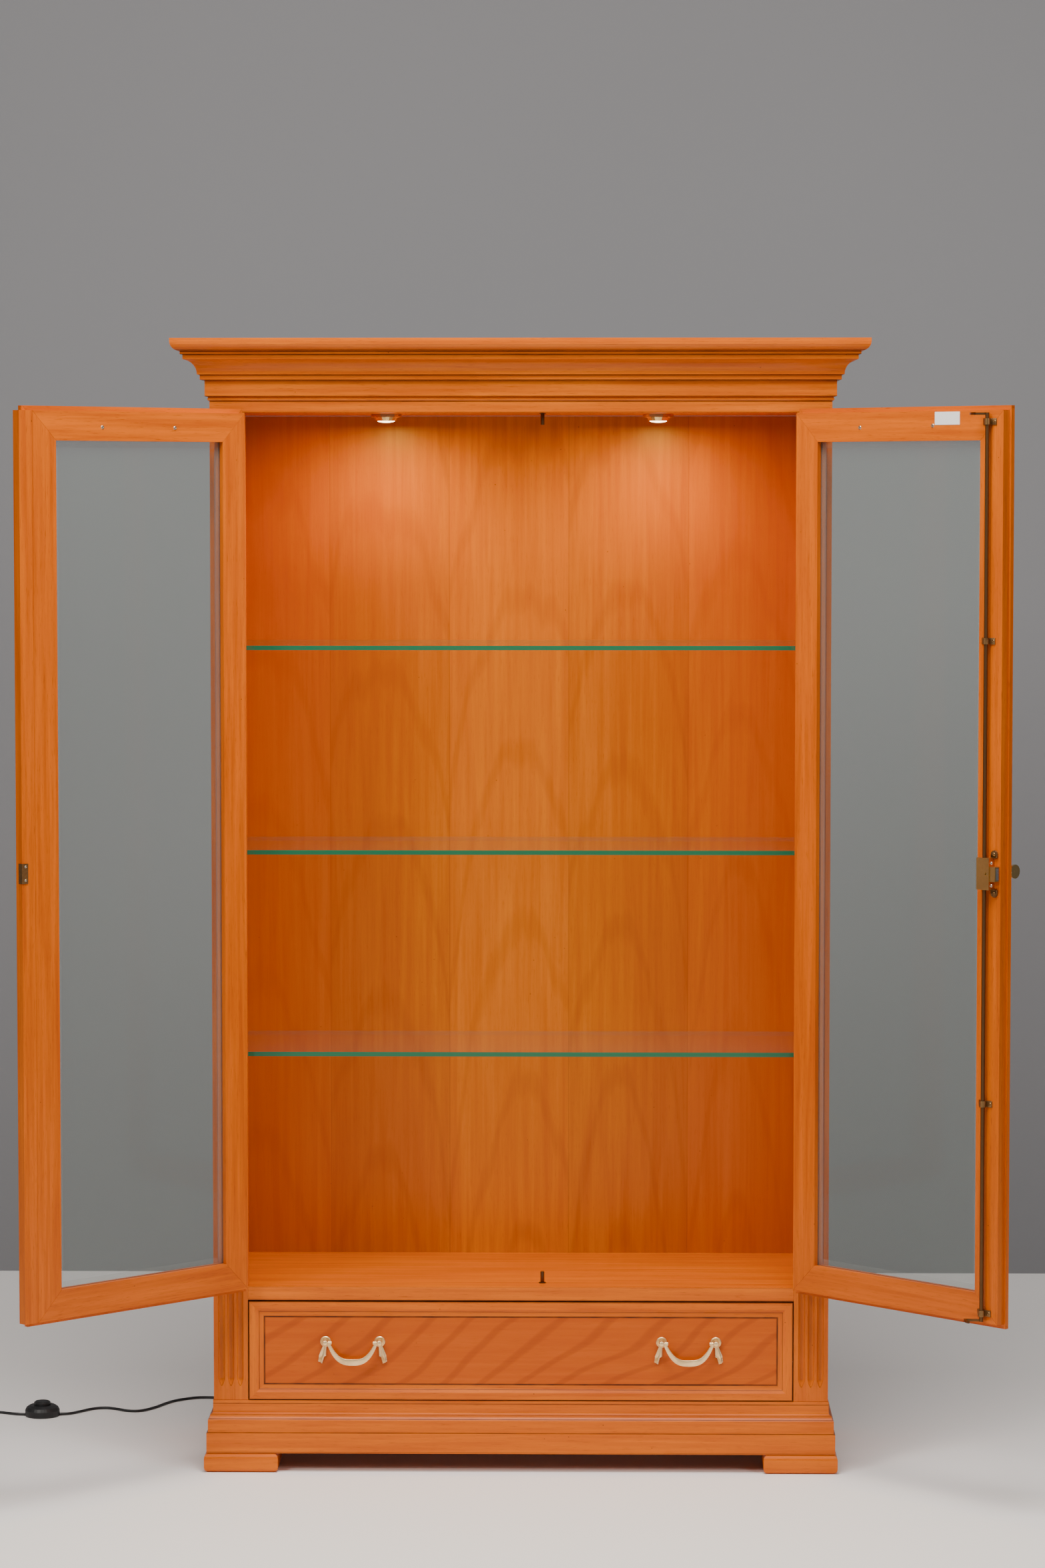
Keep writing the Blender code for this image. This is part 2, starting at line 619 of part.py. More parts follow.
def make_left_door(door):
    make_frame("left_door", door, LEFT_HINGE_EDGE, LEFT_FREE_EDGE, LEFT_LIP_FREE)
    bm = box(
        (LEFT_FREE_EDGE + TOUCH, REAR_FRONT + TOUCH, REAR_BOTTOM),
        (STRIP_END, INNER_FACE, REAR_TOP),
    )
    place(bm, "meeting_strip", WOOD, door)
    face = INNER_FACE + TOUCH
    end = STRIP_END + TOUCH
    thick = PLATE_THICKNESS
    outline = [
        (end - PLATE_WIDTH, face), (end, face), (end, face - PLATE_LEG),
        (end + thick, face - PLATE_LEG), (end + thick, face + thick), (end - PLATE_WIDTH, face + thick),
    ]
    low = LOCK_LEVEL - PLATE_HEIGHT / 2
    place(prism(outline, low, low + PLATE_HEIGHT), "strike_plate", BRONZE, door)


def make_right_door(door):
    members = make_frame("right_door", door, RIGHT_HINGE_EDGE, RIGHT_FREE_EDGE, RIGHT_LIP_FREE)
    key_x = RIGHT_FREE_EDGE + KEY_EDGE
    face = INNER_FACE + TOUCH
    key_hole = cylinder(
        (key_x, DOOR_FRONT - 0.01, LOCK_LEVEL), KEY_RADIUS + KEY_CLEARANCE, 0.06, "Y", 14
    )
    combine(members["meeting_stile"], key_hole, "DIFFERENCE")

    near = RIGHT_FREE_EDGE + LOCK_NEAR
    far = RIGHT_FREE_EDGE + LOCK_FAR
    nose = RIGHT_FREE_EDGE + NOSE_NEAR
    half = LOCK_HEIGHT / 2
    bm = box((near, face, LOCK_LEVEL - half), (far, face + LOCK_THICKNESS, LOCK_LEVEL + half))
    case = place(bm, "lock_case", BRONZE, door)
    bm = box(
        (nose, face, LOCK_LEVEL - NOSE_HEIGHT / 2),
        (near + 0.002, face + NOSE_THICKNESS, LOCK_LEVEL + NOSE_HEIGHT / 2),
    )
    combine(case, bm, "UNION")
    slot = BOLT_HEIGHT / 2 + BOLT_CLEARANCE
    bolt_low = INNER_FACE + BOLT_STANDOFF
    bm = box(
        (nose - 0.01, bolt_low - BOLT_CLEARANCE, LOCK_LEVEL - slot),
        (nose + BOLT_LENGTH + BOLT_CLEARANCE, bolt_low + BOLT_THICKNESS + BOLT_CLEARANCE, LOCK_LEVEL + slot),
    )
    combine(case, bm, "DIFFERENCE")
    bore = cylinder(
        (ROD_X, ROD_Y, LOCK_LEVEL - half - 0.01), ROD_RADIUS + ROD_CLEARANCE, LOCK_HEIGHT + 0.02, "Z", 16
    )
    combine(case, bore, "DIFFERENCE")
    hole = cylinder((key_x, face - 0.01, LOCK_LEVEL), KEY_RADIUS + KEY_CLEARANCE, 0.05, "Y", 14)
    combine(case, hole, "DIFFERENCE")

    bolt = empty("bolt_guide", (nose, bolt_low, LOCK_LEVEL), door)
    bm = box(
        (nose, bolt_low, LOCK_LEVEL - BOLT_HEIGHT / 2),
        (nose + BOLT_LENGTH, bolt_low + BOLT_THICKNESS, LOCK_LEVEL + BOLT_HEIGHT / 2),
    )
    place(bm, "lock_bolt", BRONZE, bolt)

    rod = empty("rod_axis", (ROD_X, ROD_Y, LOCK_LEVEL), door)
    low = REAR_BOTTOM + ROD_END_GAP
    high = REAR_TOP - ROD_END_GAP
    bm = cylinder((ROD_X, ROD_Y, low), ROD_RADIUS, high - low, "Z", 16)
    piece = place(bm, "lock_rod", BRONZE, rod, 35)
    for level in (low, high - HOOK_HEIGHT):
        combine(piece, hook(level), "UNION")

    key = empty("key_axis", (key_x, DOOR_FRONT, LOCK_LEVEL), door)
    tip = face + LOCK_THICKNESS - 0.002
    start = DOOR_FRONT - KEY_OUT
    bm = cylinder((key_x, start, LOCK_LEVEL), KEY_RADIUS, tip - start, "Y", 14)
    piece = place(bm, "key", BRASS, key, 35)
    bow_centre = start - KEY_BOW_RADIUS * 0.8
    bow = cylinder(
        (key_x - KEY_BOW_THICKNESS / 2, bow_centre, LOCK_LEVEL),
        KEY_BOW_RADIUS, KEY_BOW_THICKNESS, "X", 20,
    )
    combine(piece, bow, "UNION")


def hook(level):
    """A flat arm with a curved finger, which swings behind its strike pin."""
    start = HOOK_BEARING_DEG
    inner = arc((ROD_X, ROD_Y), HOOK_REACH, start, start + HOOK_SPAN_DEG, 6)
    outer = arc((ROD_X, ROD_Y), HOOK_REACH + HOOK_WIDTH, start + HOOK_SPAN_DEG, start, 6)
    along = math.radians(start)
    across = Vector((math.sin(along), -math.cos(along))) * HOOK_WIDTH
    hub = Vector((ROD_X, ROD_Y))
    root_in = hub + Vector((math.cos(along), math.sin(along))) * ROD_RADIUS * 0.5
    outline = [*inner, *outer, tuple(Vector(outer[-1]) + across), tuple(root_in + across), tuple(root_in)]
    return prism(outline, level, level + HOOK_HEIGHT)


def make_drawer(drawer):
    half = DRAWER_HALF_WIDTH
    bm = box((-half, DRAWER_FACE, DRAWER_BOTTOM), (half, DRAWER_FRONT_BACK, DRAWER_TOP))
    face = min(bm.faces, key=lambda f: f.calc_center_median().y)
    bmesh.ops.inset_region(bm, faces=[face], thickness=DRAWER_FRAME - DRAWER_BEVEL)
    bmesh.ops.inset_region(bm, faces=[face], thickness=DRAWER_BEVEL, depth=-DRAWER_RECESS)
    place(bm, "drawer_front", WOOD, drawer)

    behind = DRAWER_FRONT_BACK + TOUCH
    rear = BACK_FRONT - DRAWER_BACK_GAP
    outer = half - DRAWER_SIDE_INSET
    inner = outer - DRAWER_SIDE_THICKNESS
    low = PLINTH_TOP + TOUCH
    for side, name in ((-1, "left"), (1, "right")):
        xs = sorted((side * inner, side * outer))
        bm = box((xs[0], behind, low), (xs[1], rear, DRAWER_SIDE_TOP))
        place(bm, f"drawer_{name}_side", WOOD_INSIDE, drawer)
    base = low + DRAWER_BOTTOM_RISE
    bottom_top = base + DRAWER_BOTTOM_THICKNESS
    bm = box((-inner + TOUCH, behind, base), (inner - TOUCH, rear, bottom_top))
    place(bm, "drawer_bottom", WOOD_INSIDE, drawer)
    bm = box(
        (-inner + TOUCH, rear - DRAWER_SIDE_THICKNESS, bottom_top + TOUCH),
        (inner - TOUCH, rear, DRAWER_SIDE_TOP),
    )
    place(bm, "drawer_back", WOOD_INSIDE, drawer)
    for side, name in ((-1, "left"), (1, "right")):
        make_pull(drawer, side * PULL_X, name)


def make_pull(drawer, centre, name):
    panel = DRAWER_FACE + DRAWER_RECESS
    for side, side_name in ((-1, "outer"), (1, "inner")):
        if name == "right":
            side_name = {"outer": "inner", "inner": "outer"}[side_name]
        x = centre + side * PULL_SPACING / 2
        profile = [
            (0.0, 0.0), (ROSETTE_RADIUS, 0.0), (ROSETTE_RADIUS, 0.0025),
            (ROSETTE_RADIUS * 0.72, 0.0035), (ROSETTE_RADIUS * 0.66, ROSETTE_HEIGHT * 0.6),
            (ROSETTE_RADIUS * 0.42, ROSETTE_HEIGHT), (ROSETTE_RADIUS * 0.40, PIVOT_STANDOFF + 0.0055),
            (0.0, PIVOT_STANDOFF + 0.007),
        ]
        bm = turned(profile, (0, 0, 0), 16)
        bmesh.ops.rotate(bm, matrix=Matrix.Rotation(math.pi / 2, 3, "X"), verts=bm.verts)
        bmesh.ops.translate(bm, vec=(x, panel - TOUCH, PULL_LEVEL), verts=bm.verts)
        rosette = place(bm, f"{name}_pull_{side_name}_rosette", CHAMPAGNE, drawer, 35)
        pin_start = x - side * 0.001
        length = BAIL_END_INSET + 0.0005
        base = min(pin_start, pin_start - side * length)
        pin = cylinder((base, PIVOT_Y, PULL_LEVEL), PIVOT_RADIUS, length, "X", 10)
        combine(rosette, pin, "UNION")
        half = TASSEL_WIDTH / 2
        lean = side * TASSEL_OUT
        foot = PULL_LEVEL - ROSETTE_RADIUS * 0.3 - TASSEL_LENGTH
        outline = [
            (x - half * 0.5, PULL_LEVEL), (x + half * 0.5, PULL_LEVEL),
            (x + lean + half, foot + 0.004), (x + lean, foot), (x + lean - half, foot + 0.003),
        ]
        ribbon = prism(outline, panel - TOUCH - TASSEL_THICKNESS, panel - TOUCH, "Y")
        combine(rosette, ribbon, "UNION")

    axis = empty(f"{name}_bail_axis", (centre, PIVOT_Y, PULL_LEVEL), drawer)
    half_span = PULL_SPACING / 2 - BAIL_END_INSET + 0.003
    top, bottom = [], []
    steps = 14
    for i in range(steps + 1):
        share = -1 + 2 * i / steps
        height = BAIL_END_HEIGHT + (BAIL_MID_HEIGHT - BAIL_END_HEIGHT) * (1 - share * share)
        drop = BAIL_DROP * (1 - abs(share) ** 2.6)
        middle = PULL_LEVEL - drop
        top.append((centre + share * half_span, middle + height / 2))
        bottom.append((centre + share * half_span, middle - height / 2))
    outline = bottom + top[::-1]
    bm = prism(outline, PIVOT_Y - BAIL_THICKNESS / 2, PIVOT_Y + BAIL_THICKNESS / 2, "Y")
    bail = place(bm, f"{name}_pull_bail", CHAMPAGNE, axis)
    collar = 0.006
    for side in (-1, 1):
        end_x = centre + side * half_span
        start = min(end_x + side * 0.0005, end_x - side * collar)
        bm = cylinder((start, PIVOT_Y, PULL_LEVEL), BAIL_END_RADIUS, collar + 0.0005, "X", 12)
        combine(bail, bm, "UNION")
        start = min(end_x + side * 0.006, end_x - side * (collar - 0.001))
        hole = cylinder(
            (start, PIVOT_Y, PULL_LEVEL), PIVOT_RADIUS + PIVOT_CLEARANCE, collar + 0.005, "X", 12
        )
        combine(bail, hole, "DIFFERENCE")


def smooth_route(points, spacing):
    """Even points along a Catmull-Rom curve through the chosen ones."""
    knots = [Vector(p) for p in points]
    knots = [knots[0] * 2 - knots[1], *knots, knots[-1] * 2 - knots[-2]]
    dense = []
    for a, b, c, d in zip(knots, knots[1:], knots[2:], knots[3:]):
        for i in range(24):
            t = i / 24
            dense.append(
                0.5 * (2 * b + (c - a) * t + (2 * a - 5 * b + 4 * c - d) * t * t
                       + (3 * b - a - 3 * c + d) * t ** 3)
            )
    dense.append(knots[-2])
    lengths = [0.0]
    for a, b in zip(dense, dense[1:]):
        lengths.append(lengths[-1] + (b - a).length)
    count = max(2, round(lengths[-1] / spacing))
    even, j = [], 0
    for i in range(count + 1):
        goal = lengths[-1] * i / count
        while j < len(lengths) - 2 and lengths[j + 1] < goal:
            j += 1
        share = (goal - lengths[j]) / (lengths[j + 1] - lengths[j])
        even.append(dense[j].lerp(dense[j + 1], share))
    return even


def make_tube(name, points, root):
    curve = bpy.data.curves.new(name, "CURVE")
    curve.dimensions = "3D"
    curve.bevel_depth = CORD_DIAMETER / 2
    curve.bevel_resolution = 2
    curve.render_resolution_u = 0
    curve.use_fill_caps = True
    spline = curve.splines.new("POLY")
    spline.points.add(len(points) - 1)
    for target, point in zip(spline.points, points):
        target.co = (*point, 1.0)
    made = bpy.data.objects.new(name, curve)
    bpy.context.collection.objects.link(made)
    made.parent = root
    made.data.materials.append(BLACK)


def make_cord(root):
    back = BACK_FRONT + BACK_THICKNESS + TOUCH
    reach = ROUTE_TO_SWITCH[0][1] - TOUCH - back
    profile = [
        (0.0, 0.0), (GLAND_RADIUS, 0.0), (GLAND_RADIUS, 0.004), (CORD_DIAMETER * 0.9, 0.006),
        (CORD_DIAMETER * 0.6, reach), (0.0, reach),
    ]
    bm = turned(profile, (0, 0, 0), 16)
    bmesh.ops.rotate(bm, matrix=Matrix.Rotation(-math.pi / 2, 3, "X"), verts=bm.verts)
    bmesh.ops.translate(bm, vec=(GLAND_X, back, GLAND_LEVEL), verts=bm.verts)
    place(bm, "cable_gland", BLACK, root, 35)
    make_tube("cord_to_switch", smooth_route(ROUTE_TO_SWITCH, CORD_DIAMETER * 2.6), root)
    make_tube("cord_to_coil", smooth_route(ROUTE_TO_COIL, CORD_DIAMETER * 2.6), root)

    x, y = SWITCH_AT
    profile = [
        (0.0, 0.0), (SWITCH_RADIUS - 0.0012, 0.0), (SWITCH_RADIUS, 0.002),
        (SWITCH_RADIUS, SWITCH_HEIGHT * 0.55), (SWITCH_RADIUS - 0.003, SWITCH_HEIGHT * 0.82),
        (SWITCH_RADIUS - 0.009, SWITCH_HEIGHT), (BUTTON_RADIUS + BUTTON_GAP, SWITCH_HEIGHT),
        (BUTTON_RADIUS + BUTTON_GAP, SWITCH_HEIGHT - BUTTON_SUNK - 0.004),
        (0.0, SWITCH_HEIGHT - BUTTON_SUNK - 0.004),
    ]
    place(turned(profile, (x, y, 0), 32), "foot_switch_body", BLACK, root, 35)
    button = empty("button_guide", (x, y, SWITCH_HEIGHT), root)
    profile = [
        (0.0, SWITCH_HEIGHT - BUTTON_SUNK), (BUTTON_RADIUS, SWITCH_HEIGHT - BUTTON_SUNK),
        (BUTTON_RADIUS, SWITCH_HEIGHT + BUTTON_RISE * 0.7),
        (BUTTON_RADIUS * 0.8, SWITCH_HEIGHT + BUTTON_RISE), (0.0, SWITCH_HEIGHT + BUTTON_RISE),
    ]
    place(turned(profile, (x, y, 0), 24), "foot_switch_button", BLACK, button, 35)

    x, y = COIL_AT
    profile = [
        (COIL_INNER, 0.0002), (COIL_OUTER, 0.0002), (COIL_OUTER, COIL_HEIGHT),
        (COIL_INNER, COIL_HEIGHT), (COIL_INNER, 0.0002),
    ]
    place(turned(profile, (x, y, 0), 28), "cord_coil", BLACK, root, 35)
    far_y = y - COIL_OUTER - TOUCH
    low = (x - PLUG_LENGTH / 2, far_y - PLUG_WIDTH, 0.0)
    high = (x + PLUG_LENGTH / 2, far_y, PLUG_HEIGHT)
    plug = place(box(low, high), "mains_plug", BLACK, root)
    for side in (-1, 1):
        base = (low[0] - 0.018, (low[1] + high[1]) / 2 + side * 0.0055, PLUG_HEIGHT / 2)
        combine(plug, cylinder(base, 0.0022, 0.020, "X", 10), "UNION")


def make_moving_parts(root):
    left_pin = empty("left_door_pins", (-PIN_X, PIN_Y, 0), root)
    right_pin = empty("right_door_pins", (PIN_X, PIN_Y, 0), root)
    drawer = empty("drawer_runner", (0, DRAWER_FACE, PLINTH_TOP), root)
    make_left_door(left_pin)
    make_right_door(right_pin)
    make_drawer(drawer)
    left_pin.rotation_euler.z = -OPEN
    right_pin.rotation_euler.z = OPEN


def footprint_middle():
    """The middle of the footprint, leaving out the mains lead and what is on it."""
    bpy.context.view_layer.update()
    graph = bpy.context.evaluated_depsgraph_get()
    corners = []
    for made in bpy.data.objects:
        if made.type == "MESH" and not made.hide_render and made.name not in ON_THE_LEAD:
            shape = made.evaluated_get(graph)
            corners += [shape.matrix_world @ v.co for v in shape.data.vertices]
    xs = [c.x for c in corners]
    ys = [c.y for c in corners]
    return (min(xs) + max(xs)) / 2, (min(ys) + max(ys)) / 2


clear_scene()
DRAWN_AT = {}
ON_THE_LEAD = ("cable_gland", "cord_coil", "mains_plug", "foot_switch_body", "foot_switch_button")
WOOD = material("cherry", (0.72, 0.27, 0.05), 0.38)
WOOD_INSIDE = material("cherry_inside", (0.62, 0.20, 0.04), 0.45)
GLASS = material("glass", (0.75, 0.85, 0.80), 0.05)
BRASS = material("brass", (0.70, 0.52, 0.25), 0.30, 1.0)
BRONZE = material("bronze", (0.33, 0.22, 0.11), 0.42, 0.9)
CHAMPAGNE = material("champagne_brass", (0.80, 0.68, 0.50), 0.38, 1.0)
BLACK = material("black_plastic", (0.02, 0.02, 0.02), 0.45)

ROOT = empty("cabinet", (0, 0, 0))
make_plinth(ROOT)
make_cornice(ROOT)
make_feet(ROOT)
make_case(ROOT)
make_shelves_and_lamps(ROOT)
make_hinges(ROOT)
make_moving_parts(ROOT)
make_cord(ROOT)
middle_x, middle_y = footprint_middle()
ROOT.location = (-middle_x, -middle_y, 0.0)
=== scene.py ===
"""Tall cherry china cabinet: glass-paned doors standing open, lit glass shelves, a drawer below.

Metres, +X right, -Y to the front, +Z up, in the frame of the CAD model.
"""
import json
import math

import bmesh
import bpy
from mathutils import Matrix, Vector


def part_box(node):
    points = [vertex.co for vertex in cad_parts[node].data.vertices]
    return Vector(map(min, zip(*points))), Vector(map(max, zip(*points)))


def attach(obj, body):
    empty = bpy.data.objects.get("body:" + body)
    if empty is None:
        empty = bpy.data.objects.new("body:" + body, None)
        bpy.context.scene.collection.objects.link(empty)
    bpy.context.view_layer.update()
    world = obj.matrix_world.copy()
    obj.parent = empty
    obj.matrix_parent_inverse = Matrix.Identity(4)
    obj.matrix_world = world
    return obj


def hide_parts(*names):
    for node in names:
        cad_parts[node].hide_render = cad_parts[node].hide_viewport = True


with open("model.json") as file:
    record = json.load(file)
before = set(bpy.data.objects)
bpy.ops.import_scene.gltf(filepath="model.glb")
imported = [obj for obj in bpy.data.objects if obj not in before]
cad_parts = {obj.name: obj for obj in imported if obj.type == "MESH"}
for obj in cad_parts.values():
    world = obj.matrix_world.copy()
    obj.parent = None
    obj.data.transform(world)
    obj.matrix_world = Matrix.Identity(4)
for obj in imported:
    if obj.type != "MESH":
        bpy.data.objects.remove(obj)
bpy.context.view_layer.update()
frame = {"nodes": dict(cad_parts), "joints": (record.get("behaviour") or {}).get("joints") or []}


# ---------------------------------------------------------------- camera
# A long lens at eye height, almost square on to the cabinet and tilted a little down.
camera_data = bpy.data.cameras.new("front_camera")
camera_data.lens = 102.9
camera_data.sensor_width = 36.0
camera_data.sensor_fit = "AUTO"
camera = bpy.data.objects.new("front_camera", camera_data)
camera.location = (0.1218, -7.8506, 1.7373)
camera.rotation_euler = (math.radians(90 - 3.755), 0.0, math.radians(0.891))
bpy.context.collection.objects.link(camera)
bpy.context.scene.camera = camera


# ---------------------------------------------------------------- mains lead
# One round black PVC lead: out of the back panel, down to the floor, through the foot switch,
# and the unseen length wound in two layers and left lying with its plug beside it.
MIDDLE = Vector((0.003677, 0.000796, 0.0))   # cabinet coordinates less this are the model's
LEAD_DIAMETER = 0.005
LEAD_LIES = LEAD_DIAMETER / 2 + 0.0002


def through(points, steps):
    """Points along a smooth curve through the given ones."""
    knots = [Vector(p) for p in points]
    knots = [knots[0] * 2 - knots[1], *knots, knots[-1] * 2 - knots[-2]]
    found = []
    for a, b, c, d in zip(knots, knots[1:], knots[2:], knots[3:]):
        for i in range(steps):
            t = i / steps
            found.append(0.5 * (2 * b + (c - a) * t + (2 * a - 5 * b + 4 * c - d) * t * t
                                + (3 * b - a - 3 * c + d) * t ** 3))
    return found + [knots[-2]]


to_switch = [
    (-0.440, 0.4000, 0.2400), (-0.440, 0.4130, 0.2395), (-0.4410, 0.4400, 0.2200),
    (-0.4450, 0.4680, 0.1600), (-0.4520, 0.4950, 0.0850), (-0.4640, 0.5300, 0.0260),
    (-0.4840, 0.5680, 0.0060), (-0.5120, 0.5980, LEAD_LIES), (-0.5500, 0.6180, LEAD_LIES),
    (-0.5930, 0.6280, LEAD_LIES), (-0.6300, 0.6270, LEAD_LIES), (-0.6650, 0.6020, LEAD_LIES),
    (-0.6840, 0.5730, LEAD_LIES), (-0.7026, 0.5330, LEAD_LIES), (-0.7250, 0.5040, LEAD_LIES),
    (-0.7500, 0.5030, LEAD_LIES), (-0.7720, 0.5190, LEAD_LIES), (-0.7950, 0.5290, LEAD_LIES),
    (-0.8180, 0.5200, LEAD_LIES), (-0.8380, 0.4960, LEAD_LIES), (-0.8550, 0.4770, LEAD_LIES),
    (-0.8742, 0.4700, LEAD_LIES),
]
to_coil = [
    (-0.9398, 0.4670, LEAD_LIES), (-0.9560, 0.4700, LEAD_LIES), (-0.9800, 0.4810, LEAD_LIES),
    (-1.0050, 0.4915, LEAD_LIES), (-1.0380, 0.4958, LEAD_LIES),
]
COIL_AT = Vector((-1.068, 0.456, 0.0))
LAYER = 0.0053
coil = []
for i in range(104):                       # 24 points a turn, inwards below and outwards above
    turn = i / 24
    angle = math.radians(96) + 2 * math.pi * turn
    if turn < 0.25:
        radius = 0.0381 - 0.0046 * (turn / 0.25)
    elif turn < 2.25:
        radius = 0.0335 - 0.0054 * (turn - 0.25)
    elif turn < 2.5:
        radius = 0.0227
    else:
        radius = 0.0227 + 0.0054 * (turn - 2.5)
    rise = min(max((turn - 2.25) / 0.25, 0.0), 1.0) * LAYER
    coil.append(COIL_AT + Vector((radius * math.cos(angle), radius * math.sin(angle), LEAD_LIES + rise)))
to_plug = [
    (-1.0370, 0.4300, 0.0070), (-1.0265, 0.4285, 0.0062), (-1.0200, 0.4225, 0.0066),
    (-1.0190, 0.4150, 0.0078), (-1.0240, 0.4090, 0.0092), (-1.0330, 0.4070, 0.0100),
    (-1.0440, 0.4070, 0.0100),
]
through_switch = [(-0.8900, 0.4680, LEAD_LIES), (-0.9070, 0.4672, LEAD_LIES), (-0.9240, 0.4668, LEAD_LIES)]
route = through(to_switch + through_switch + to_coil, 6)[:-1] + through(
    [to_coil[-1]] + [tuple(p) for p in coil] + to_plug, 2)
route = [p - MIDDLE for p in route]
lead_curve = bpy.data.curves.new("mains_lead", "CURVE")
lead_curve.dimensions = "3D"
lead_curve.bevel_depth = LEAD_DIAMETER / 2
lead_curve.bevel_resolution = 3
lead_curve.use_fill_caps = True
lead_line = lead_curve.splines.new("POLY")
lead_line.points.add(len(route) - 1)
for target, point in zip(lead_line.points, route):
    target.co = (*point, 1.0)
drawn = bpy.data.objects.new("mains_lead_drawn", lead_curve)
bpy.context.collection.objects.link(drawn)
bpy.context.view_layer.update()
lead_mesh = bpy.data.meshes.new_from_object(drawn.evaluated_get(bpy.context.evaluated_depsgraph_get()))
bpy.data.objects.remove(drawn)
lead_mesh.name = "mains_lead"
lead_mesh.shade_smooth()
lead = bpy.data.objects.new("mains_lead", lead_mesh)
bpy.context.collection.objects.link(lead)
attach(lead, "cabinet")
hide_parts("cord_to_switch", "cord_to_coil", "cord_coil")


def start_material(name):
    """A fresh node material: its tree, its shader, and a place to add nodes."""
    made = bpy.data.materials.new(name)
    made.use_nodes = True
    tree = made.node_tree
    return made, tree, tree.nodes["Principled BSDF"]


def node(tree, kind, inputs=None, **settings):
    """A new node with its settings, and its inputs as values or as another node's output."""
    added = tree.nodes.new(kind)
    for setting, value in settings.items():
        setattr(added, setting, value)
    for label, value in (inputs or {}).items():
        if isinstance(value, bpy.types.NodeSocket):
            tree.links.new(value, added.inputs[label])
        else:
            added.inputs[label].default_value = value
    return added


def dress(material, *names):
    """Puts one material on each named CAD node."""
    for name in names:
        piece = frame["nodes"][name]
        piece.data.materials.clear()
        piece.data.materials.append(material)


# The lead's jacket, the switch and the plug are matt black plastic with a fine moulded
# texture, a little greyer where feet and hands have rubbed it.
lead_plastic, tree, shader = start_material("moulded_black")
place_on = node(tree, "ShaderNodeTexCoord").outputs["Object"]
rub_colour = node(tree, "ShaderNodeValToRGB")
rub_colour.color_ramp.elements[0].position = 0.38
rub_colour.color_ramp.elements[0].color = (0.006, 0.006, 0.007, 1)
rub_colour.color_ramp.elements[1].position = 0.72
rub_colour.color_ramp.elements[1].color = (0.020, 0.020, 0.021, 1)
grit = node(tree, "ShaderNodeTexNoise", {"Scale": 900.0, "Detail": 3.0, "Vector": place_on})
rub = node(tree, "ShaderNodeTexNoise", {"Scale": 28.0, "Detail": 4.0, "Vector": place_on})
tree.links.new(rub.outputs["Fac"], rub_colour.inputs["Fac"])
rub_rough = node(tree, "ShaderNodeMapRange", {"To Min": 0.34, "To Max": 0.58, "Value": rub.outputs["Fac"]})
tree.links.new(rub_colour.outputs["Color"], shader.inputs["Base Color"])
tree.links.new(rub_rough.outputs["Result"], shader.inputs["Roughness"])
bump = node(tree, "ShaderNodeBump", {"Strength": 0.12, "Distance": 0.0003, "Height": grit.outputs["Fac"]})
tree.links.new(bump.outputs["Normal"], shader.inputs["Normal"])
lead_mesh.materials.clear()
lead_mesh.materials.append(lead_plastic)
dress(lead_plastic, "foot_switch_body", "foot_switch_button", "mains_plug", "cable_gland")


# ---------------------------------------------------------------- cherry wood
# Lacquered American cherry. Every board carries the same figure, run along its own length:
# growth lines, soft mottling, and short dark pore flecks under a thin satin lacquer.
def surface_group(name, *sockets):
    """A node group that gives a colour, a roughness and a height."""
    made = bpy.data.node_groups.new(name, "ShaderNodeTree")
    for label, kind, value in sockets:
        socket = made.interface.new_socket(name=label, in_out="INPUT", socket_type=kind)
        if value is not None:
            socket.default_value = value
    for label, kind in (("Color", "Color"), ("Roughness", "Float"), ("Height", "Float")):
        made.interface.new_socket(name=label, in_out="OUTPUT", socket_type=f"NodeSocket{kind}")
    return made, made.nodes.new("NodeGroupInput"), made.nodes.new("NodeGroupOutput")


def step_in(tree, operation, *values):
    """One arithmetic step in a material; numbers or outputs may be given."""
    step = node(tree, "ShaderNodeMath", operation=operation)
    for i, value in enumerate(values):
        if isinstance(value, (int, float)):
            step.inputs[i].default_value = value
        else:
            tree.links.new(value, step.inputs[i])
    return step.outputs["Value"]


figure, given, given_out = surface_group(
    "cherry_figure", ("Along Grain", "NodeSocketVector", None),
    ("Dark", "NodeSocketColor", (0.20, 0.026, 0.001, 1)),
    ("Middle", "NodeSocketColor", (0.50, 0.088, 0.0006, 1)),
    ("Light", "NodeSocketColor", (0.70, 0.155, 0.0008, 1)), ("Pore Depth", "NodeSocketFloat", 0.5))


def noise_along(stretch, scale, detail, rough, distortion=0.0):
    """Noise drawn out along the grain: the first coordinate runs with the wood."""
    squeeze = node(figure, "ShaderNodeMapping", {"Scale": (stretch, 1.0, 1.0),
                   "Vector": given.outputs["Along Grain"]})
    noise = node(figure, "ShaderNodeTexNoise", {"Scale": scale, "Detail": detail, "Roughness": rough,
                 "Distortion": distortion, "Vector": squeeze.outputs["Vector"]})
    return noise


lines = noise_along(0.035, 95.0, 5.0, 0.62, 0.25)
mottle = noise_along(0.28, 9.0, 3.0, 0.55)
pores = noise_along(0.045, 900.0, 2.0, 0.6)
lines_spread = node(figure, "ShaderNodeMapRange", {"From Min": 0.33, "From Max": 0.67,
                    "Value": lines.outputs["Fac"]})
tone = node(figure, "ShaderNodeMix", {"Factor": lines_spread.outputs["Result"],
            "A": given.outputs["Middle"], "B": given.outputs["Light"]}, data_type="RGBA")
broad_spread = node(figure, "ShaderNodeMapRange", {"From Min": 0.35, "From Max": 0.75, "To Max": 0.38,
                    "Value": mottle.outputs["Fac"]})
broad = node(figure, "ShaderNodeMix", {"Factor": broad_spread.outputs["Result"],
             "A": tone.outputs["Result"], "B": given.outputs["Middle"]}, data_type="RGBA")
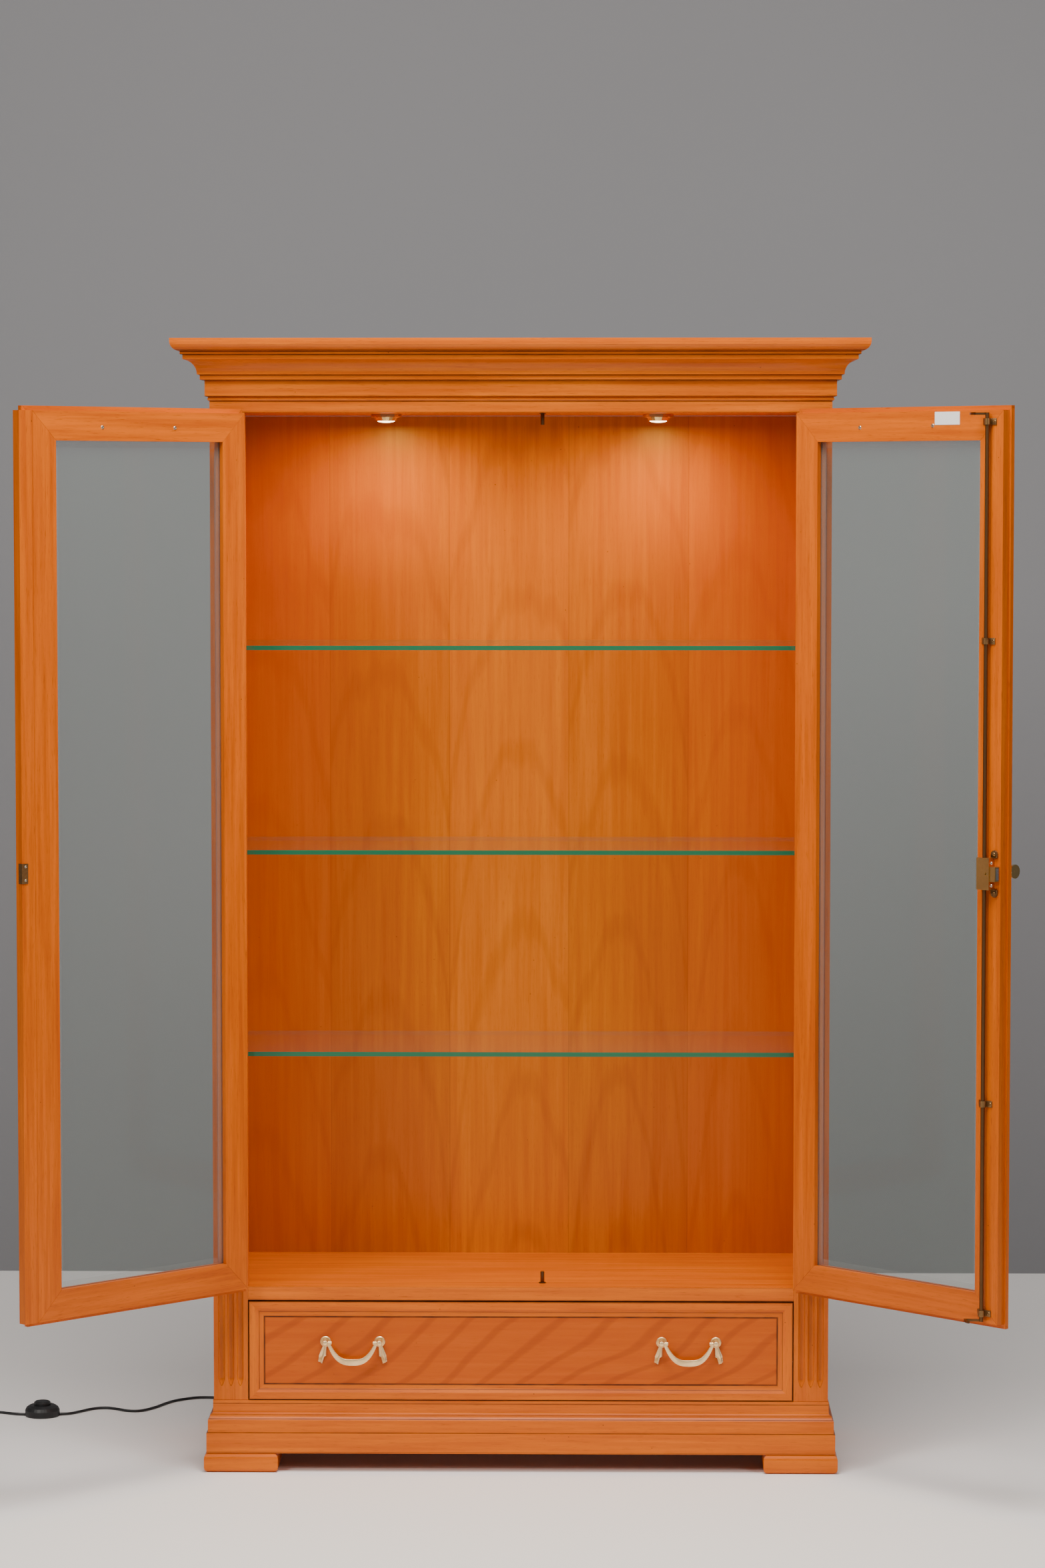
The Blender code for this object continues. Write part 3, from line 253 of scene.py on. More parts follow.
fleck = node(figure, "ShaderNodeMapRange", {"From Min": 0.60, "From Max": 0.74,
             "Value": pores.outputs["Fac"]})
fleck_share = step_in(figure, "MULTIPLY", fleck.outputs["Result"], given.outputs["Pore Depth"])
flecked = node(figure, "ShaderNodeMix", {"Factor": fleck_share, "A": broad.outputs["Result"],
               "B": given.outputs["Dark"]}, data_type="RGBA")
cells = node(figure, "ShaderNodeTexVoronoi", {"Scale": 48.0, "Vector": given.outputs["Along Grain"]})
near = step_in(figure, "LESS_THAN", cells.outputs["Distance"], 0.045)
cell_split = node(figure, "ShaderNodeSeparateColor", {"Color": cells.outputs["Color"]})
chosen = step_in(figure, "GREATER_THAN", cell_split.outputs["Red"], 0.84)
knock = step_in(figure, "MULTIPLY", near, chosen)
knock_share = step_in(figure, "MULTIPLY", knock, 0.75)
knocked = node(figure, "ShaderNodeMix", {"B": (0.035, 0.008, 0.001, 1), "Factor": knock_share,
               "A": flecked.outputs["Result"]}, data_type="RGBA")
figure.links.new(knocked.outputs["Result"], given_out.inputs["Color"])
sheen = node(figure, "ShaderNodeMapRange", {"To Min": 0.30, "To Max": 0.44, "Value": mottle.outputs["Fac"]})
figure.links.new(sheen.outputs["Result"], given_out.inputs["Roughness"])
sunk = step_in(figure, "MULTIPLY", fleck_share, -0.6)
relief = step_in(figure, "MULTIPLY_ADD", lines.outputs["Fac"], 0.25, sunk)
figure.links.new(relief, given_out.inputs["Height"])


# Painted shade in the grooves: full at the groove's line, gone a little way off, broken up by noise.
groove_shade = bpy.data.node_groups.new("painted_groove_shade", "ShaderNodeTree")
for label, value in (("Distance", 0.0), ("Half Width", 0.0015), ("Strength", 0.8)):
    socket = groove_shade.interface.new_socket(name=label, in_out="INPUT", socket_type="NodeSocketFloat")
    socket.default_value = value
socket = groove_shade.interface.new_socket(name="Place", in_out="INPUT", socket_type="NodeSocketVector")
groove_shade.interface.new_socket(name="Mask", in_out="OUTPUT", socket_type="NodeSocketFloat")
groove_shade_in = groove_shade.nodes.new("NodeGroupInput")
groove_shade_out = groove_shade.nodes.new("NodeGroupOutput")
off_line = step_in(groove_shade, "ABSOLUTE", groove_shade_in.outputs["Distance"])
fade = node(groove_shade, "ShaderNodeMapRange", {"To Min": 1.0, "To Max": 0.0, "Value": off_line,
            "From Max": groove_shade_in.outputs["Half Width"]}, interpolation_type="SMOOTHSTEP")
shade_break = node(groove_shade, "ShaderNodeTexNoise", {"Scale": 22.0, "Detail": 3.0,
             "Vector": groove_shade_in.outputs["Place"]})
shade_break_range = node(groove_shade, "ShaderNodeMapRange", {"From Min": 0.3, "From Max": 0.6, "To Min": 0.72,
                  "Value": shade_break.outputs["Fac"]})
kept = step_in(groove_shade, "MULTIPLY", fade.outputs["Result"], shade_break_range.outputs["Result"])
kept_share = step_in(groove_shade, "MULTIPLY", kept, groove_shade_in.outputs["Strength"])
groove_shade.links.new(kept_share, groove_shade_out.inputs["Mask"])


def shade_grooves(tree, colour, place, distances):
    """Paints shade into a colour along grooves, each given as its distance output, half width and strength.
    """
    most = None
    for distance, half, strength in distances:
        line = node(tree, "ShaderNodeGroup", {"Half Width": half, "Strength": strength,
                    "Distance": distance, "Place": place}, node_tree=groove_shade)
        most = line.outputs["Mask"] if most is None else step_in(tree, "MAXIMUM", most, line.outputs["Mask"])
    dark = node(tree, "ShaderNodeMix", {"B": (0.020, 0.004, 0.001, 1), "Factor": most, "A": colour},
                data_type="RGBA")
    return dark.outputs["Result"]


def lacquered(tree, shader, wood, colour, grain=0.25, depth=0.0004,
              coat=0.12, coat_rough=0.16, specular=0.16):
    """Finishes a board: its colour, its pores as relief, and a thin satin lacquer."""
    tree.links.new(colour, shader.inputs["Base Color"])
    tree.links.new(wood.outputs["Roughness"], shader.inputs["Roughness"])
    bump = node(tree, "ShaderNodeBump", {"Strength": grain, "Distance": depth,
                "Height": wood.outputs["Height"]})
    tree.links.new(bump.outputs["Normal"], shader.inputs["Normal"])
    shader.inputs["Coat Weight"].default_value = coat
    shader.inputs["Coat Roughness"].default_value = coat_rough
    shader.inputs["Specular IOR Level"].default_value = specular


def cherry(name, turn, wrap=False, levels=(), tones=None):
    """Cherry with the grain turned along one direction; wrap follows a moulding round a corner,
    and levels are the heights of its grooves, darkened with painted shade, with their half widths and
    strengths."""
    made, tree, shader = start_material(name)
    place_on = node(tree, "ShaderNodeTexCoord").outputs["Object"]
    lay = node(tree, "ShaderNodeMapping", {"Rotation": turn, "Vector": place_on})
    wood = node(tree, "ShaderNodeGroup", node_tree=figure)
    if wrap:
        side = node(tree, "ShaderNodeMapping", {"Rotation": (0, 0, math.pi / 2), "Vector": place_on})
        facing = node(tree, "ShaderNodeNewGeometry")
        split = node(tree, "ShaderNodeSeparateXYZ", {"Vector": facing.outputs["True Normal"]})
        size = step_in(tree, "ABSOLUTE", split.outputs["X"])
        over = step_in(tree, "GREATER_THAN", size, 0.30)
        pick = node(tree, "ShaderNodeMix", {"Factor": over, "A": lay.outputs["Vector"],
                    "B": side.outputs["Vector"]}, data_type="VECTOR")
        tree.links.new(pick.outputs["Result"], wood.inputs["Along Grain"])
    else:
        tree.links.new(lay.outputs["Vector"], wood.inputs["Along Grain"])
    for label, tone in zip(("Dark", "Middle", "Light"), tones or ()):
        wood.inputs[label].default_value = tone
    colour = wood.outputs["Color"]
    # The grooves at these levels are darkened with painted shade.
    if levels:
        parts = node(tree, "ShaderNodeSeparateXYZ", {"Vector": place_on})
        grooves = [(step_in(tree, "SUBTRACT", parts.outputs["Z"], z), half, strength)
                   for z, half, strength in levels]
        colour = shade_grooves(tree, colour, place_on, grooves)
    lacquered(tree, shader, wood, colour)
    return made


cherry_upright = cherry("cherry_upright", (0, math.pi / 2, 0))
cherry_across = cherry("cherry_across", (0, 0, 0), wrap=True)
cherry_deep = cherry("cherry_deep", (0, 0, math.pi / 2))


# ---------------------------------------------------------------- case
# Boarded sides, floor and feet of cherry with the grain along each board; the cornice and the
# plinth are moulded in steps, with painted shade in their grooves.
dress(cherry_upright, "left_side_panel", "right_side_panel")
dress(cherry_across, "top_panel", "drawer_bay_floor", "front_left_foot", "front_right_foot",
      "rear_left_foot", "rear_right_foot")
# Painted shade in the grooves at each level below, here and on the cornice, cap and plinth.
dress(cherry("cherry_floor", (0, 0, 0), levels=((0.3065, 0.0016, 0.7), (0.3295, 0.0007, 0.35))),
      "cabinet_floor")
dress(cherry("cherry_cornice", (0, 0, 0), wrap=True, levels=(
    (1.8730, 0.0012, 0.6), (1.8920, 0.0013, 0.85), (1.9006, 0.0013, 0.85), (1.9285, 0.0014, 0.85),
    (1.9372, 0.0013, 0.75), (1.9722, 0.0016, 0.8), (1.9770, 0.0015, 0.7))), "cornice_moulding")
dress(cherry("cherry_cap", (0, 0, 0), wrap=True, levels=((1.9795, 0.0022, 0.6),)), "cornice_cap")
dress(cherry("cherry_plinth", (0, 0, 0), wrap=True, levels=(
    (0.0360, 0.0013, 0.6), (0.0706, 0.0012, 0.8), (0.0950, 0.0014, 0.85), (0.1022, 0.0012, 0.5),
    (0.1212, 0.0016, 0.75))), "plinth")


# ---------------------------------------------------------------- pilasters
# Solid uprights with three stopped flutes, with painted shade along their edges and deepest in them.
PILASTER_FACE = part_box("left_pilaster")[0][1]
pilaster_wood, tree, shader = start_material("cherry_fluted")
place_on = node(tree, "ShaderNodeTexCoord").outputs["Object"]
lay = node(tree, "ShaderNodeMapping", {"Rotation": (0, math.pi / 2, 0), "Vector": place_on})
wood = node(tree, "ShaderNodeGroup", {"Along Grain": lay.outputs["Vector"]}, node_tree=figure)
parts = node(tree, "ShaderNodeSeparateXYZ", {"Vector": place_on})
sunk_by = step_in(tree, "SUBTRACT", parts.outputs["Y"], PILASTER_FACE)
facing = node(tree, "ShaderNodeNewGeometry")
facing_parts = node(tree, "ShaderNodeSeparateXYZ", {"Vector": facing.outputs["True Normal"]})
frontal = step_in(tree, "LESS_THAN", facing_parts.outputs["Y"], -0.15)
aside = step_in(tree, "SUBTRACT", 1.0, frontal)
edge_off = step_in(tree, "ADD", step_in(tree, "SUBTRACT", sunk_by, 0.0004), aside)
deep_off = step_in(tree, "ADD", step_in(tree, "SUBTRACT", sunk_by, 0.0040), aside)
# Painted shade along each flute's edge and down in its deepest part.
colour = shade_grooves(tree, wood.outputs["Color"], place_on,
                ((edge_off, 0.00035, 0.55), (deep_off, 0.0022, 0.42)))
lacquered(tree, shader, wood, colour)
dress(pilaster_wood, "left_pilaster", "right_pilaster")


# ---------------------------------------------------------------- back panel
# Thin board faced with cherry veneer in leaves side by side, each with its arched figure.
LEAF = 0.219
back_veneer, tree, shader = start_material("cherry_veneer_leaves")
place_on = node(tree, "ShaderNodeTexCoord").outputs["Object"]
split = node(tree, "ShaderNodeSeparateXYZ", {"Vector": place_on})
leaf_place = step_in(tree, "DIVIDE", step_in(tree, "ADD", split.outputs["X"], 5 * LEAF + 0.140), LEAF)
leaf_number = step_in(tree, "FLOOR", leaf_place)
leaf_share = step_in(tree, "SUBTRACT", step_in(tree, "SUBTRACT", leaf_place, leaf_number), 0.5)
odd = step_in(tree, "MODULO", leaf_number, 2.0)
mirror = step_in(tree, "MULTIPLY_ADD", odd, 2.0, -1.0)
local_x = step_in(tree, "MULTIPLY", step_in(tree, "MULTIPLY", leaf_share, mirror), LEAF)
leaf_lift = step_in(tree, "SINE", step_in(tree, "MULTIPLY", leaf_number, 12.99))
leaf_sway = step_in(tree, "SINE", step_in(tree, "MULTIPLY", leaf_number, 7.23))
leaf_centre = step_in(tree, "MULTIPLY_ADD", leaf_sway, 0.035, 0.005)
join = node(tree, "ShaderNodeCombineXYZ", {"X": step_in(tree, "ADD", local_x, leaf_centre),
            "Z": step_in(tree, "MULTIPLY", step_in(tree, "ADD", split.outputs["Z"], leaf_lift), 0.11)})
arches = node(tree, "ShaderNodeTexWave", {"Scale": 9.5, "Distortion": 3.2, "Detail": 3.0,
              "Detail Scale": 1.3, "Vector": join.outputs["Vector"]}, wave_type="RINGS",
              rings_direction="Y")
lay = node(tree, "ShaderNodeMapping", {"Rotation": (0, math.pi / 2, 0), "Vector": place_on})
wood = node(tree, "ShaderNodeGroup", {"Dark": (0.26, 0.036, 0.0006, 1),
            "Middle": (0.46, 0.104, 0.0006, 1), "Light": (0.58, 0.158, 0.0008, 1),
            "Along Grain": lay.outputs["Vector"]}, node_tree=figure)
arch_share = node(tree, "ShaderNodeMapRange", {"From Max": 0.11, "To Min": 0.17, "To Max": 0.0,
                  "Value": arches.outputs["Fac"]})
arched = node(tree, "ShaderNodeMix", {"B": (0.22, 0.030, 0.0006, 1),
              "Factor": arch_share.outputs["Result"], "A": wood.outputs["Color"]}, data_type="RGBA")
seam_near = step_in(tree, "GREATER_THAN", step_in(tree, "ABSOLUTE", leaf_share), 0.4965)
seamed = node(tree, "ShaderNodeMix", {"B": (0.11, 0.018, 0.003, 1),
              "Factor": step_in(tree, "MULTIPLY", seam_near, 0.30), "A": arched.outputs["Result"]},
              data_type="RGBA")
outward = node(tree, "ShaderNodeMapRange", {"From Min": 0.10, "From Max": 0.48, "To Max": 0.62,
               "Value": step_in(tree, "ABSOLUTE", split.outputs["X"])})
redder = node(tree, "ShaderNodeMix", {"B": (0.40, 0.050, 0.0006, 1), "Factor": outward.outputs["Result"],
              "A": seamed.outputs["Result"]}, data_type="RGBA")
leaf_tone = node(tree, "ShaderNodeHueSaturation",
                 {"Value": step_in(tree, "MULTIPLY_ADD", odd, 0.08, 0.94),
                 "Color": redder.outputs["Result"]})
lacquered(tree, shader, wood, leaf_tone.outputs["Color"], grain=0.2, depth=0.0003, coat=0.08,
          coat_rough=0.25, specular=0.2)
dress(back_veneer, "back_panel")


# ---------------------------------------------------------------- door frames
# Mitred cherry members round each pane; a loose strip on the left door covers the meeting.
door_tones = ((0.13, 0.016, 0.001, 1), (0.43, 0.074, 0.0006, 1), (0.62, 0.128, 0.0008, 1))
cherry_stile = cherry("cherry_stile", (0, math.pi / 2, 0), tones=door_tones)
for side, turn in (("left", 135), ("right", -135)):
    dress(cherry_stile, f"{side}_door_hinge_stile", f"{side}_door_meeting_stile")
    dress(cherry(f"cherry_{side}_rail", (0, 0, math.radians(turn)), tones=door_tones),
          f"{side}_door_top_rail", f"{side}_door_bottom_rail")
dress(cherry_stile, "meeting_strip")


# ---------------------------------------------------------------- glass
# Clear float glass: nearly invisible through the faces, deep bottle green at the edges.
SHELF_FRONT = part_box("upper_glass_shelf")[0][1]
SHELF_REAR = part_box("upper_glass_shelf")[1][1]
glass_kinds = {}
for name, seen in (("pane_glass", 0.10), ("shelf_glass", 0.075)):
    made, tree, shader = start_material(name)
    place_on = node(tree, "ShaderNodeTexCoord").outputs["Object"]
    split = node(tree, "ShaderNodeSeparateXYZ")
    if name == "shelf_glass":
        tree.links.new(place_on, split.inputs["Vector"])
        edge = step_in(tree, "LESS_THAN", split.outputs["Y"], SHELF_FRONT + 0.0007)
        rear = step_in(tree, "GREATER_THAN", split.outputs["Y"], SHELF_REAR - 0.0003)
        shown = step_in(tree, "MULTIPLY_ADD", rear, 0.10, step_in(tree, "MULTIPLY", edge, 0.96))
    else:
        facing = node(tree, "ShaderNodeNewGeometry")
        tree.links.new(facing.outputs["True Normal"], split.inputs["Vector"])
        edge = step_in(tree, "GREATER_THAN", step_in(tree, "ABSOLUTE", split.outputs["Z"]), 0.5)
        shown = step_in(tree, "MULTIPLY", edge, 0.96)
    dust = node(tree, "ShaderNodeTexNoise", {"Scale": 14.0, "Detail": 4.0, "Vector": place_on})
    tint = node(tree, "ShaderNodeMix", {"A": (0.16, 0.22, 0.19, 1), "B": (0.006, 0.125, 0.060, 1),
                "Factor": edge}, data_type="RGBA")
    tree.links.new(tint.outputs["Result"], shader.inputs["Base Color"])
    film = step_in(tree, "MULTIPLY_ADD", dust.outputs["Fac"], 0.05, seen - 0.025)
    tree.links.new(step_in(tree, "MAXIMUM", film, shown), shader.inputs["Alpha"])
    tree.links.new(step_in(tree, "MULTIPLY_ADD", dust.outputs["Fac"], 0.05, 0.01), shader.inputs["Roughness"])
    shader.inputs["IOR"].default_value = 1.5
    shader.inputs["Specular IOR Level"].default_value = 0.6
    glass_kinds[name] = made
dress(glass_kinds["shelf_glass"], "lower_glass_shelf", "middle_glass_shelf", "upper_glass_shelf")


# ---------------------------------------------------------------- metals
# One group for the worked metals: a fine grain, and patches that are duller and darker.
worked, given, given_out = surface_group(
    "worked_metal", ("Place", "NodeSocketVector", None),
    ("Bright", "NodeSocketColor", (0.6, 0.4, 0.2, 1)),
    ("Tarnished", "NodeSocketColor", (0.2, 0.1, 0.05, 1)),
    ("Patch Size", "NodeSocketFloat", 40.0), ("Smooth", "NodeSocketFloat", 0.25),
    ("Dull", "NodeSocketFloat", 0.5))
patches = node(worked, "ShaderNodeTexNoise", {"Detail": 5.0, "Roughness": 0.65,
               "Vector": given.outputs["Place"], "Scale": given.outputs["Patch Size"]})
scratches = node(worked, "ShaderNodeTexNoise", {"Scale": 1400.0, "Detail": 2.0,
                 "Vector": given.outputs["Place"]})
spread = node(worked, "ShaderNodeMapRange", {"From Min": 0.35, "From Max": 0.70,
              "Value": patches.outputs["Fac"]})
metal_tone = node(worked, "ShaderNodeMix", {"Factor": spread.outputs["Result"],
                  "A": given.outputs["Bright"], "B": given.outputs["Tarnished"]}, data_type="RGBA")
worked.links.new(metal_tone.outputs["Result"], given_out.inputs["Color"])
dullness = node(worked, "ShaderNodeMix", {"Factor": spread.outputs["Result"],
                "A": given.outputs["Smooth"], "B": given.outputs["Dull"]})
worked.links.new(dullness.outputs["Result"], given_out.inputs["Roughness"])
worked.links.new(scratches.outputs["Fac"], given_out.inputs["Height"])


def metal(name, bright, tarnished, patch, smooth, dull, grain=0.08):
    """A finished metal built on the shared group, lit as full metal."""
    made, tree, shader = start_material(name)
    place_on = node(tree, "ShaderNodeTexCoord").outputs["Object"]
    group = node(tree, "ShaderNodeGroup", {"Bright": (*bright, 1), "Tarnished": (*tarnished, 1),
                 "Patch Size": patch, "Smooth": smooth, "Dull": dull, "Place": place_on},
                 node_tree=worked)
    tree.links.new(group.outputs["Color"], shader.inputs["Base Color"])
    tree.links.new(group.outputs["Roughness"], shader.inputs["Roughness"])
    bump = node(tree, "ShaderNodeBump", {"Strength": grain, "Distance": 0.0002,
                "Height": group.outputs["Height"]})
    tree.links.new(bump.outputs["Normal"], shader.inputs["Normal"])
    shader.inputs["Metallic"].default_value = 1.0
    return made


rod_bronze = metal("rod_bronze", (0.16, 0.080, 0.032), (0.12, 0.060, 0.026), 12.0, 0.40, 0.5)
lock_bronze = metal("lock_bronze", (0.66, 0.40, 0.14), (0.50, 0.29, 0.10), 30.0, 0.28, 0.42)
bolt_steel = metal("bolt_steel", (0.74, 0.72, 0.68), (0.52, 0.50, 0.46), 80.0, 0.18, 0.34)
bronzed = metal("bronzed_brass", (0.34, 0.19, 0.075), (0.15, 0.075, 0.030), 60.0, 0.36, 0.55)
champagne = metal("champagne_brass", (0.93, 0.70, 0.38), (0.78, 0.54, 0.27), 45.0, 0.34, 0.48)
bright_brass = metal("bright_brass", (0.80, 0.58, 0.26), (0.62, 0.42, 0.17), 35.0, 0.16, 0.30)
steel = metal("screw_steel", (0.55, 0.48, 0.38), (0.28, 0.22, 0.16), 300.0, 0.30, 0.5)


# ---------------------------------------------------------------- hinges
# Bronzed butt hinges: the CAD gives the barrel and the case leaf, and each door carries a thin
# leaf let into the outer edge of its rear part, with its countersunk screws.
RIGHT_PIN = Vector(next(j["pos_m"] for j in frame["joints"] if j["name"] == "right_door_hinge"))
LEFT_PIN = Vector(next(j["pos_m"] for j in frame["joints"] if j["name"] == "left_door_hinge"))
DOOR_REAR_EDGE = 0.481


def solid(name, bm, material, body, smooth_deg=None):
    """A finished piece from a bmesh, riding on a body."""
    bmesh.ops.recalc_face_normals(bm, faces=bm.faces)
    mesh = bpy.data.meshes.new(name)
    bm.to_mesh(mesh)
    bm.free()
    if smooth_deg is not None:
        mesh.shade_smooth()
        mesh.set_sharp_from_angle(angle=math.radians(smooth_deg))
    mesh.materials.append(material)
    made = bpy.data.objects.new(name, mesh)
    bpy.context.collection.objects.link(made)
    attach(made, body)
    return made


def move(bm, by):
    """Moves a whole piece."""
    bmesh.ops.translate(bm, vec=by, verts=bm.verts)


def turn_by(bm, angle, axis):
    """Turns a whole piece about an axis through the origin."""
    bmesh.ops.rotate(bm, matrix=Matrix.Rotation(angle, 3, axis), verts=bm.verts)


def ease(bm, edges, by, segments=2):
    """Rounds some edges over."""
    bmesh.ops.bevel(bm, geom=edges, offset=by, segments=segments, profile=0.5,
                    affect="EDGES", material=-1, clamp_overlap=True)


def block(low, high, soften=0.0):
    """A rectangular blank in a new bmesh, its edges eased."""
    bm = bmesh.new()
    bmesh.ops.create_cube(bm, size=1.0)
    bmesh.ops.scale(bm, vec=[high[i] - low[i] for i in range(3)], verts=bm.verts)
    move(bm, [(high[i] + low[i]) / 2 for i in range(3)])
    if soften:
        ease(bm, bm.edges[:], soften)
    return bm


def screw_head(at, radius, toward=1):
    """A low head with a sunk round recess, lying on a face that looks along +Y (or -Y)."""
    bm = bmesh.new()
    bmesh.ops.create_cone(bm, cap_ends=True, segments=20, radius1=radius, radius2=radius * 0.72,
                          depth=radius * 0.35)
    top = [f for f in bm.faces if f.normal.z > 0.9]
    bmesh.ops.inset_region(bm, faces=top, thickness=radius * 0.28)
    bmesh.ops.inset_region(bm, faces=top, thickness=radius * 0.12, depth=-radius * 0.2)
    turn_by(bm, -math.pi / 2 * toward, "X")
    move(bm, at)
    return bm


def join_into(target, other):
    """Adds one bmesh's parts to another."""
    spare = bpy.data.meshes.new("spare")
    other.to_mesh(spare)
    other.free()
    target.from_mesh(spare)
    bpy.data.meshes.remove(spare)
    return target


def open_door(bm, side):
    """Takes a piece drawn on the shut door, in cabinet coordinates, to where the door stands."""
    move(bm, -MIDDLE)
    pin, turn = (RIGHT_PIN, 135) if side == "right" else (LEFT_PIN, -135)
    bmesh.ops.rotate(bm, cent=(pin.x, pin.y, 0), matrix=Matrix.Rotation(math.radians(turn), 3, "Z"),
                     verts=bm.verts)
    return bm


dress(bronzed, *(f"{side}_{row}_hinge" for side in ("left", "right") for row in ("lower", "middle", "upper")))
for side, out in (("left", -1), ("right", 1)):
    for row, level in (("lower", 0.440), ("middle", 1.101), ("upper", 1.770)):
        xs = sorted((out * DOOR_REAR_EDGE, out * (DOOR_REAR_EDGE + 0.0009)))
        leaf = block((xs[0], 0.0006, level - 0.017), (xs[1], 0.0140, level + 0.017), 0.0003)
        for offset in (-0.0105, 0.0, 0.0105):
            head = screw_head((0, 0, 0), 0.0022)
            turn_by(head, -out * math.pi / 2, "Z")
            move(head, (out * (DOOR_REAR_EDGE + 0.0010), 0.0075, level + offset))
            join_into(leaf, head)
        solid(f"{side}_door_leaf_{row}", open_door(leaf, side), bronzed, f"{side}_door", 35)


# ---------------------------------------------------------------- door panes
# Each pane is 4 mm glass with a broad ground bevel all round its inner face, held in a groove.
bevel_glass, tree, shader = start_material("bevel_glass")
place_on = node(tree, "ShaderNodeTexCoord").outputs["Object"]
ground = node(tree, "ShaderNodeTexNoise", {"Scale": 30.0, "Detail": 3.0, "Vector": place_on})
tree.links.new(step_in(tree, "MULTIPLY_ADD", ground.outputs["Fac"], 0.08, 0.20), shader.inputs["Alpha"])
tree.links.new(step_in(tree, "MULTIPLY_ADD", ground.outputs["Fac"], 0.06, 0.02), shader.inputs["Roughness"])
shader.inputs["Base Color"].default_value = (0.22, 0.27, 0.25, 1)
shader.inputs["IOR"].default_value = 1.5
shader.inputs["Specular IOR Level"].default_value = 0.9
for side, out in (("left", -1), ("right", 1)):
    xs = sorted((out * 0.4396, out * 0.0564))
    pane = block((xs[0], 0.0030, 0.3734), (xs[1], 0.0070, 1.8286))
    inner_face = max(pane.faces, key=lambda f: f.calc_center_median().y)
    corners = list(inner_face.verts)
    bevels = bmesh.ops.inset_region(pane, faces=[inner_face], thickness=0.0086 + 0.020)["faces"]
    bmesh.ops.translate(pane, vec=(0, -0.0014, 0), verts=corners)
    for face in bevels:
        face.material_index = 1
    made = solid(f"{side}_bevelled_pane", open_door(pane, side), glass_kinds["pane_glass"],
                 f"{side}_door")
    made.data.materials.append(bevel_glass)
    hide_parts(f"{side}_door_glass")


# ---------------------------------------------------------------- lock, rod and key
# A surface rod lock: a light bronze case, a dark turning rod with hooked ends, guides screwed
# to the stile, a brass key through the front and a folded strike plate on the other door.
INNER = 0.016            # the doors' inner face, shut
ROD_X, ROD_Y, LOCK_Z = 0.0435, 0.024, 1.095
dress(lock_bronze, "lock_case")
dress(bolt_steel, "lock_bolt")
dress(rod_bronze, "lock_rod")
dress(bronzed, "strike_plate")
dress(bright_brass, "key")
for i, level in enumerate((1.851, 1.485, 0.706, 0.350)):
    guide = block((ROD_X - 0.0145, INNER + 0.0001, level - 0.0055),
                  (ROD_X + 0.0145, INNER + 0.0018, level + 0.0055), 0.0005)
    saddle = bmesh.new()
    bmesh.ops.create_cone(saddle, cap_ends=True, segments=28, radius1=0.0058, radius2=0.0058, depth=0.0105)
    move(saddle, (ROD_X, ROD_Y, level))
    caps = [f for f in saddle.faces if abs(f.normal.z) > 0.9]
    bmesh.ops.inset_region(saddle, faces=caps, thickness=0.0017)
    bmesh.ops.delete(saddle, geom=caps, context="FACES_ONLY")
    rims = [e for e in saddle.edges if e.is_boundary]
    bmesh.ops.bridge_loops(saddle, edges=rims)
    join_into(guide, saddle)
    neck = block((ROD_X - 0.0050, INNER + 0.0010, level - 0.0052),
                 (ROD_X + 0.0050, ROD_Y - 0.0046, level + 0.0052), 0.0003)
    join_into(guide, neck)
    for offset in (-0.0107, 0.0107):
        join_into(guide, screw_head((ROD_X + offset, INNER + 0.0023, level), 0.0026))
    solid(f"rod_guide_{i + 1}", open_door(guide, "right"), bronzed, "right_door", 35)

for name, base, up in (("upper", LOCK_Z + 0.0275, 1), ("lower", LOCK_Z - 0.0275, -1)):
    ear = bmesh.new()
    bmesh.ops.create_cone(ear, cap_ends=True, segments=28, radius1=0.0072, radius2=0.0066, depth=0.0030)
    turn_by(ear, -math.pi / 2, "X")
    move(ear, (ROD_X - 0.0165, INNER + 0.0018, base + up * 0.0052))
    foot = block((ROD_X - 0.0237, INNER + 0.0003, min(base - up * 0.0003, base + up * 0.0052)),
                 (ROD_X - 0.0093, INNER + 0.0033, max(base - up * 0.0003, base + up * 0.0052)), 0.0004)
    join_into(ear, foot)
    join_into(ear, screw_head((ROD_X - 0.0165, INNER + 0.0038, base + up * 0.0055), 0.0030))
    solid(f"lock_ear_{name}", open_door(ear, "right"), bronzed, "right_door", 35)

plate_screws = screw_head((0.0061, INNER + 0.0014, LOCK_Z + 0.0115), 0.0024)
join_into(plate_screws, screw_head((0.0061, INNER + 0.0014, LOCK_Z - 0.0115), 0.0024))
solid("strike_plate_screws", open_door(plate_screws, "left"), steel, "left_door", 35)
case_screws = screw_head((0.0235, INNER + 0.0146, LOCK_Z + 0.0190), 0.0027)
join_into(case_screws, screw_head((0.0235, INNER + 0.0146, LOCK_Z - 0.0190), 0.0027))
solid("lock_case_screws", open_door(case_screws, "right"), steel, "right_door", 35)


# ---------------------------------------------------------------- strike pins
# Two dark bronze pins stand in the floor and hang from the ceiling for the rod's hooks; each is
# a sleeve over the stub in the board, with a small round flange.
STUB_X, STUB_Y = 0.038, 0.0455
for name, level, up in (("floor", 0.3302, 1), ("ceiling", 1.8718, -1)):
    pin = bmesh.new()
    bmesh.ops.create_cone(pin, cap_ends=True, segments=24, radius1=0.0034, radius2=0.0034, depth=0.0206)
    move(pin, (STUB_X, STUB_Y, level + up * 0.0103))
    rims = [e for e in pin.edges if abs(e.verts[0].co.z - e.verts[1].co.z) < 1e-6]
    ease(pin, rims, 0.0007)
    flange = bmesh.new()
    bmesh.ops.create_cone(flange, cap_ends=True, segments=24, radius1=0.0062, radius2=0.0062, depth=0.0012)
    move(flange, (STUB_X, STUB_Y, level + up * 0.0006))
    join_into(pin, flange)
    move(pin, -MIDDLE)
    solid(f"{name}_strike_pin", pin, rod_bronze, "cabinet", 35)


